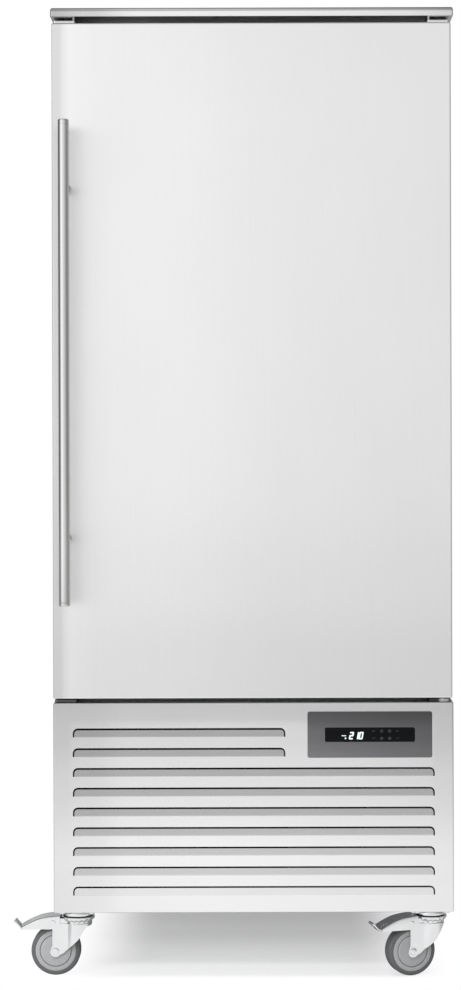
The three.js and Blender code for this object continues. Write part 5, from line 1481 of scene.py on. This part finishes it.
# %% Baffle, fan mouths and guards
baffle_low, baffle_high = cad_box("fan_baffle")
BAFFLE_SHEET, BAFFLE_FOLD = 1.5, 4
FAN_MOUTH = 128.0
WIRE, SPOKE = 1.0, 1.2  # radii of the guard's wires
INNERMOST, OUTERMOST = 26, FAN_MOUTH + 6  # radii of its rings
baffle = make("baffle_pan", pan(
    (baffle_low[0], baffle_high[0]), (baffle_low[2], baffle_high[2]), baffle_low[1],
    baffle_high[1] - baffle_low[1], BAFFLE_SHEET, BAFFLE_FOLD),
    inner_steel, "root", ["fan_baffle"])
fan_centres = {}
for level in ("lower", "upper"):
    low, high = cad_box(f"evaporator_{level}_fan")
    fan_centres[level] = (low + high) / 2
before, behind = baffle_low[1] - 5, baffle_low[1] + 6
plug = [(0, before), (FAN_MOUTH, before), (FAN_MOUTH, behind), (0, behind)]
carve(baffle, *[turned(plug, "y", (centre[0], 0, centre[2]), 96) for centre in fan_centres.values()])


def fan_guard(centre):
    """Eight wire rings and four spokes over the mouth.

    Point (row, column) of a ring lies at its radius + wire * cos(row), lifted by wire * sin(row).
    """
    angle = np.linspace(0, 2 * np.pi, 72, endpoint=False)
    section = np.linspace(0, 2 * np.pi, 6, endpoint=False)[:, None]
    y = baffle_low[1] - 1.2
    wires = []
    for radius in np.linspace(INNERMOST, OUTERMOST, 8):
        r = radius + WIRE * np.cos(section)
        points = lay(centre[0] + r * np.cos(angle), centre[2] + r * np.sin(angle),
                     y + WIRE * np.sin(section) + 0 * angle, "y")
        wires.append(grid(points, wrap_rows=True, wrap_columns=True))
    reach = np.array([INNERMOST, OUTERMOST])
    for turn in np.radians((45, 135, 225, 315)):
        x, z = centre[0] + reach * math.cos(turn), centre[2] + reach * math.sin(turn)
        wires.append(along(np.column_stack([x, [y - 1.6] * 2, z]), SPOKE, 8))
    return together(*wires)


for level, centre in fan_centres.items():
    make(f"fan_guard_{level}", fan_guard(centre), rack_steel, "root")


# %% [markdown]
# A fan blade is a strip of sheet that is twisted: flat near the tip, steep at the hub. Rows run out
# along the radius and columns across the blade, and each row is turned by its own angle.


# %% Fans
BLADES = 5
BLADE_ROOT, TIP_GAP = 24, 1
BLADE_SHEET = 1.2


def fan_wheel(centre, radius, depth):
    """Twisted blades on a domed hub. Blade angle falls from 42 degrees at the hub to 20 at the tip.

    A point at r along a blade and a across it lies at the angle a * cos(pitch) / r round the hub and
    at the depth a * sin(pitch).
    """
    r = np.linspace(BLADE_ROOT, radius - TIP_GAP, 12)[:, None]
    share = (r - BLADE_ROOT) / (radius - TIP_GAP - BLADE_ROOT)
    width = 18 + share * radius * 0.42
    across = np.linspace(-0.5, 0.5, 9) * width
    pitch = np.radians(42 - 22 * share)
    pitch = np.minimum(pitch, np.arcsin(np.clip((depth - 4) / width, 0, 1)))
    parts = []
    for i in range(BLADES):
        angle = 2 * np.pi * i / BLADES + across * np.cos(pitch) / r
        y = centre[1] + across * np.sin(pitch)
        x, z = centre[0] + r * np.cos(angle), centre[2] + r * np.sin(angle)
        face, back = lay(x, z, y, "y"), lay(x, z, y + BLADE_SHEET, "y")
        parts.append(grid(np.concatenate([face, back[:, ::-1]], axis=1), wrap_columns=True, caps=True))
    half = depth / 2
    dome = [(0, -half), (18, -half), (26, -half + 2.5), (30, -half + 7), (30, half), (0, half)]
    return together(turned(dome, "y", centre, 48), *parts)


FAN_RADII = {"condenser_fan": 145.0, "evaporator_lower_fan": 120.0, "evaporator_upper_fan": 120.0}
for name, radius in FAN_RADII.items():
    low, high = cad_box(name)
    blades = fan_wheel((low + high) / 2, radius, high[1] - low[1])
    make(f"{name}_wheel", blades, fan_metal, name, [name])

# %% [markdown]
# ## Finishes for the pieces that keep their shape
#
# Folded sheet, bar and box pieces of the model are right as they are, and drawing them again could
# only move them. A weld joins their loose triangles, a fine bevel breaks their edges, and weighted
# normals keep the flats flat. Foam and fin packs stay unbroken, because no edge of theirs is seen.


# %% Dress the model's own pieces
def break_edges(piece, radius):
    """A small radius on every corner that isn't nearly flat, with flat faces that stay flat."""
    edge = piece.modifiers.new("broken_edges", "BEVEL")
    edge.width = radius * MM
    edge.segments = 2
    edge.limit_method = "ANGLE"
    edge.angle_limit = math.radians(SHARP)
    edge.use_clamp_overlap = True
    even = piece.modifiers.new("even_shading", "WEIGHTED_NORMAL")
    even.weight = 80
    even.keep_sharp = True


def dress(name, material, radius):
    """Finish for a piece of the model, with broken edges where their radius isn't 0."""
    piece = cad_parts[name]
    piece.data.materials.clear()
    piece.data.materials.append(material)
    if radius:
        weld = piece.modifiers.new("weld", "WELD")
        weld.merge_threshold = 0.02 * MM
        break_edges(piece, radius)


DRESSED = [  # the finish, the radius of the broken edges in millimetres, and the pieces
    (side_steel, 0.4, ["side_panel_left", "side_panel_right"]),
    (side_steel, 0.3, ["back_panel"]),
    (galvanised, 0.3, ["rear_grille", "compartment_deck"]),
    (galvanised, 0.4, ["base_chassis"]),
    (foam_yellow, 0, ["cabinet_insulation", "door_core"]),
    (breaker_plastic, 0.5, ["front_frame"]),
    (bare_fins, 0, ["evaporator_coil"]),
    (shade_black_fins, 0, ["condenser_coil"]),
    (rack_steel, 0.25, ["tray_rack_left", "tray_rack_right"]),
    (gland_black, 0.4, ["probe_socket", "cable_gland"]),
    (bracket_steel, 0.4, ["hinge_upper", "blank_bracket_upper"]),
    (shaded_steel, 0.4, ["hinge_lower", "blank_bracket_lower"]),
    (grey_plastic, 0.4, ["control_box"]),
    (grey_plastic, 0.5, ["evaporating_tray"]),
    (black_enamel, 0.8, ["compressor", "liquid_receiver"]),
    (black_enamel, 0.3, ["fan_shroud"]),
    (black_enamel, 0.5, ["condenser_fan_motor"]),
    (black_enamel, 0.5, ["evaporator_lower_fan_motor", "evaporator_upper_fan_motor"]),
]
for material, radius, names in DRESSED:
    for name in names:
        dress(name, material, radius)
print("pieces of the model dressed:", sum(len(names) for _, _, names in DRESSED))

# %% [markdown]
# Behind the slots of the rear grille stands a black slab, so that nobody looks through them into the
# machine. Its black is painted shade, which keeps the view through the slots and the louvres as dark as
# the shade inside. A thin slab is all of it that can be seen.

# %% Painted shade behind the rear grille
VENT_SHADE_HALF = 270
VENT_SHADE_Z = (176, 506)
grille_low, _ = cad_box("rear_grille")
vent_shade_outline = rounded((-VENT_SHADE_HALF, VENT_SHADE_HALF), (grille_low[1] - 5.5, grille_low[1] - 0.4), 0.5, 2)
make("vent_shade_slab", prism(vent_shade_outline, VENT_SHADE_Z, "z"), vent_shade_black, "root")

# %% [markdown]
# ## Studio
#
# The photograph was cut out on white, so the camera itself sees a world of level 1. Everything else
# sees the studio: a bright wall to the left of the camera, a duller one to the right, and a dark
# ceiling. Polished metal shows nothing but its surroundings, so these levels draw the machine. The
# door shades from left to right because the walls differ, and the cap's roll has a dark band because
# it mirrors the ceiling.


# %% Studio walls
WALLS = [  # degrees from straight in front of the machine, to the right, and the level there
    (-180, 0.34), (-173, 0.5), (-165, 0.62), (-155, 0.6), (-135, 0.26), (-97, 0.18), (-83, 0.28),
    (-67, 0.72), (-53, 1.36), (-34, 1.5), (-20, 1.24), (-9, 1.1), (0, 1.04), (9, 0.97), (23, 0.8),
    (46, 0.5), (72, 0.34), (110, 0.22), (140, 0.24), (180, 0.34)]
HEIGHTS = [  # degrees above the horizon, and the share of that level
    (-90, 0.6), (-4, 1.0), (0, 1.0), (12, 1.04), (20, 1.02), (25, 0.84), (29.5, 0.5), (34, 0.45), (42, 0.5),
    (60, 0.62), (90, 0.55)]


def around(tree, place, levels):
    """The level in the direction in which a place lies from the middle."""
    parts = node(tree, "ShaderNodeSeparateXYZ", {0: place})
    turn = maths(tree, "ARCTAN2", parts.outputs["X"], maths(tree, "MULTIPLY", parts.outputs["Y"], -1.0))
    share = maths(tree, "MULTIPLY_ADD", turn, 1 / (2 * math.pi), 0.5)
    return ramp(tree, share, [((degrees + 180) / 360, level) for degrees, level in levels])


world = bpy.data.worlds.new("studio")
bpy.context.scene.world = world
world.use_nodes = True
tree = world.node_tree
direction = node(tree, "ShaderNodeTexCoord").outputs["Generated"]
wall = around(tree, direction, WALLS)
height = node(tree, "ShaderNodeSeparateXYZ", {0: direction}).outputs["Z"]
height_share = maths(tree, "MULTIPLY_ADD", height, 0.5, 0.5)
tall = ramp(tree, height_share, [
    ((math.sin(math.radians(degrees)) + 1) / 2, level) for degrees, level in HEIGHTS])
level = maths(tree, "MULTIPLY", wall, tall)
seen = node(tree, "ShaderNodeLightPath").outputs["Is Camera Ray"]
shown = maths(tree, "MULTIPLY_ADD", level, maths(tree, "SUBTRACT", 1.0, seen), seen)
tree.links.new(shown, tree.nodes["Background"].inputs["Strength"])
tree.nodes["Background"].inputs["Color"].default_value = (1, 1, 1, 1)
print("studio walls:", len(WALLS), "directions,", len(HEIGHTS), "heights")

# %% [markdown]
# The floor answers two kinds of ray. To the camera it is white, with only a part of the shadow that
# a real floor would show, as in a cut-out picture. To the metal it is a lit sweep of paper: bright
# close to the machine and duller further out, which shades the base from its bottom to its top.

# %% Floor
FLOOR_RADIUS, FLOOR_LEVEL = 40.0, -0.0004  # metres: the floor lies just under the wheels
FLOOR_SIDES = 96
turn = np.linspace(0, 2 * np.pi, FLOOR_SIDES, endpoint=False)
disc = np.column_stack([
    FLOOR_RADIUS * np.cos(turn), FLOOR_RADIUS * np.sin(turn), np.full(FLOOR_SIDES, FLOOR_LEVEL)])
floor_mesh = bpy.data.meshes.new("studio_floor")
floor_mesh.from_pydata(disc.tolist(), [], [list(range(FLOOR_SIDES))])
floor = bpy.data.objects.new("studio_floor", floor_mesh)
bpy.context.scene.collection.objects.link(floor)

SHADOW_SHARE = 0.56  # of the camera's floor that light can leave under the machine
SHADOW_FLOOR = 0.47  # what stays in the deepest shadow
SHADOW_HALF = (0.213, 0.36, 1.0)  # metres from the machine's middle to where the floor turns white
SHADOW_REACH = 0.12  # metres over which it does
MIDDLE_Y = 400  # millimetres: half of the cabinet's depth
SOFTER = (0.6, 1.0, 1.0)  # the sides turn white more slowly than the front and the back
# Painted shadow under the machine: how much of the floor's glow and matt white this table leaves, from the
# machine's front to its back.
SHADOW_DEPTHS = [  # millimetres behind the machine's front, and how much of the floor's light stays there
    (0, 1.0), (70, 1.0), (105, 1.12), (140, 1.18), (190, 1.04), (250, 1.02), (470, 0.84), (640, 0.76),
    (800, 0.8)]
PAPER = 0.42  # how much of the light the floor gives back to the machine
SWEEP = [  # metres from the middle, and the share of the walls' light that the metal sees there besides
    (0, 0.52), (0.8, 0.52), (2, 0.46), (3.2, 0.43), (5, 0.44), (8, 0.54), (12, 0.78), (24, 0.97)]
SIDES = [  # degrees as for the walls, and the level that the metal sees on the floor close by
    (-180, 0.34), (-66, 0.3), (-57, 1.04), (57, 1.04), (66, 0.3), (180, 0.34)]
TURNED = (1.0, 6.0)  # metres over which that share starts to follow the walls all round
# Painted shade: the share of the glow that metal sees which is taken away under the machine.
UNDER = 0.75  # how much of that is gone under the machine

# %% [markdown]
# The paper is a matt white plus a glow. The camera sees the glow alone, but for the machine's shadow,
# where the glow is painted down, shaped from front to back by the shadow's depths, and the matt white
# takes over and shows what light is left. A ray that metal mirrors sees the walls' light by the share
# that the sweep gives back at that distance, less a painted shade where the machine covers it.
# Besides, every ray but the camera's meets plain grey paper.

# %% Paper
paper = bpy.data.materials.new("studio_paper")
paper.use_nodes = True
tree = paper.node_tree
tree.nodes.remove(tree.nodes["Principled BSDF"])
rays = node(tree, "ShaderNodeLightPath")
seen = rays.outputs["Is Camera Ray"]
place = node(tree, "ShaderNodeTexCoord").outputs["Object"]
middle = cabinet_zero + np.array([0, MIDDLE_Y, 0]) * MM
offset = node(tree, "ShaderNodeVectorMath", {0: place, 1: middle}, operation="SUBTRACT").outputs[0]
spread = node(tree, "ShaderNodeVectorMath", {0: offset}, operation="ABSOLUTE").outputs[0]
beyond = node(tree, "ShaderNodeVectorMath", {0: spread, 1: SHADOW_HALF}, operation="SUBTRACT").outputs[0]
beyond = node(tree, "ShaderNodeVectorMath", {0: beyond, 1: SOFTER}, operation="MULTIPLY").outputs[0]
outside = node(tree, "ShaderNodeVectorMath", {0: beyond, 1: (0, 0, 0)}, operation="MAXIMUM").outputs[0]
under = node(tree, "ShaderNodeMapRange", {
    "Value": node(tree, "ShaderNodeVectorMath", {0: outside}, operation="LENGTH").outputs["Value"],
    "From Min": 0.0, "From Max": SHADOW_REACH, "To Min": 1.0, "To Max": 0.0},
    interpolation_type="SMOOTHSTEP").outputs[0]
away = node(tree, "ShaderNodeVectorMath", {0: place}, operation="LENGTH").outputs["Value"]
SWEEP_END = SWEEP[-1][0]
outwards = maths(tree, "MULTIPLY", away, 1 / SWEEP_END)
sweep = ramp(tree, outwards, [(metres / SWEEP_END, level) for metres, level in SWEEP])
turned_share = node(tree, "ShaderNodeMapRange", {
    "Value": away, "From Min": TURNED[0], "From Max": TURNED[1]}).outputs[0]
close = around(tree, place, SIDES)
far = around(tree, place, WALLS)
side = maths(tree, "MULTIPLY_ADD", turned_share, maths(tree, "SUBTRACT", far, close), close)
mirrored = maths(tree, "MULTIPLY", rays.outputs["Is Glossy Ray"], maths(tree, "MULTIPLY", sweep, side))
# Painted shade: metal sees less of the floor's glow under the machine.
mirrored = maths(tree, "MULTIPLY", mirrored, maths(tree, "MULTIPLY_ADD", under, -UNDER, 1.0))
# Painted shadow under the machine, shaped from front to back.
depth = fade(tree, place, "y", SHADOW_DEPTHS)
shaded = maths(tree, "MULTIPLY", under, depth)
lit_floor = maths(tree, "MULTIPLY_ADD", shaded, SHADOW_FLOOR, maths(tree, "SUBTRACT", 1.0, under))
glow = maths(tree, "MULTIPLY_ADD", seen, lit_floor, mirrored)
shadowed = maths(tree, "MULTIPLY_ADD", shaded, SHADOW_SHARE, -PAPER)
white = maths(tree, "MULTIPLY_ADD", seen, shadowed, PAPER)
grey = node(tree, "ShaderNodeCombineColor", {0: white, 1: white, 2: white}).outputs[0]
matt = node(tree, "ShaderNodeBsdfDiffuse", {"Color": grey})
lift = node(tree, "ShaderNodeEmission", {"Strength": glow})
both = node(tree, "ShaderNodeAddShader", {0: matt.outputs[0], 1: lift.outputs[0]})
tree.links.new(both.outputs[0], tree.nodes["Material Output"].inputs["Surface"])
floor_mesh.materials.append(paper)
print("floor nodes:", len(tree.nodes))


# %% [markdown]
# Two large soft lamps give direction to what the walls light evenly. They light the floor and the
# matt pieces, and no metal mirrors them, so that the walls alone draw the steel.


# %% Softboxes
def softbox(name, place, target, size, power):
    """A square area lamp that looks from a place to a target, both in millimetres."""
    data = bpy.data.lights.new(name, "AREA")
    data.size = size
    data.energy = power
    lamp = bpy.data.objects.new(name, data)
    bpy.context.scene.collection.objects.link(lamp)
    lamp.location = to_frame(place)
    sight = Vector(to_frame(target) - to_frame(place))
    lamp.rotation_euler = sight.to_track_quat("-Z", "Y").to_euler()
    lamp.visible_glossy = False
    lamp.visible_camera = False
    print(f"{name}: {power} W over {size} m")


softbox("overhead", (-600, -1500, 4200), (0, 0, 0), 3.0, 180)
softbox("front_left", (-3200, -3600, 2400), (0, 300, 900), 2.4, 90)
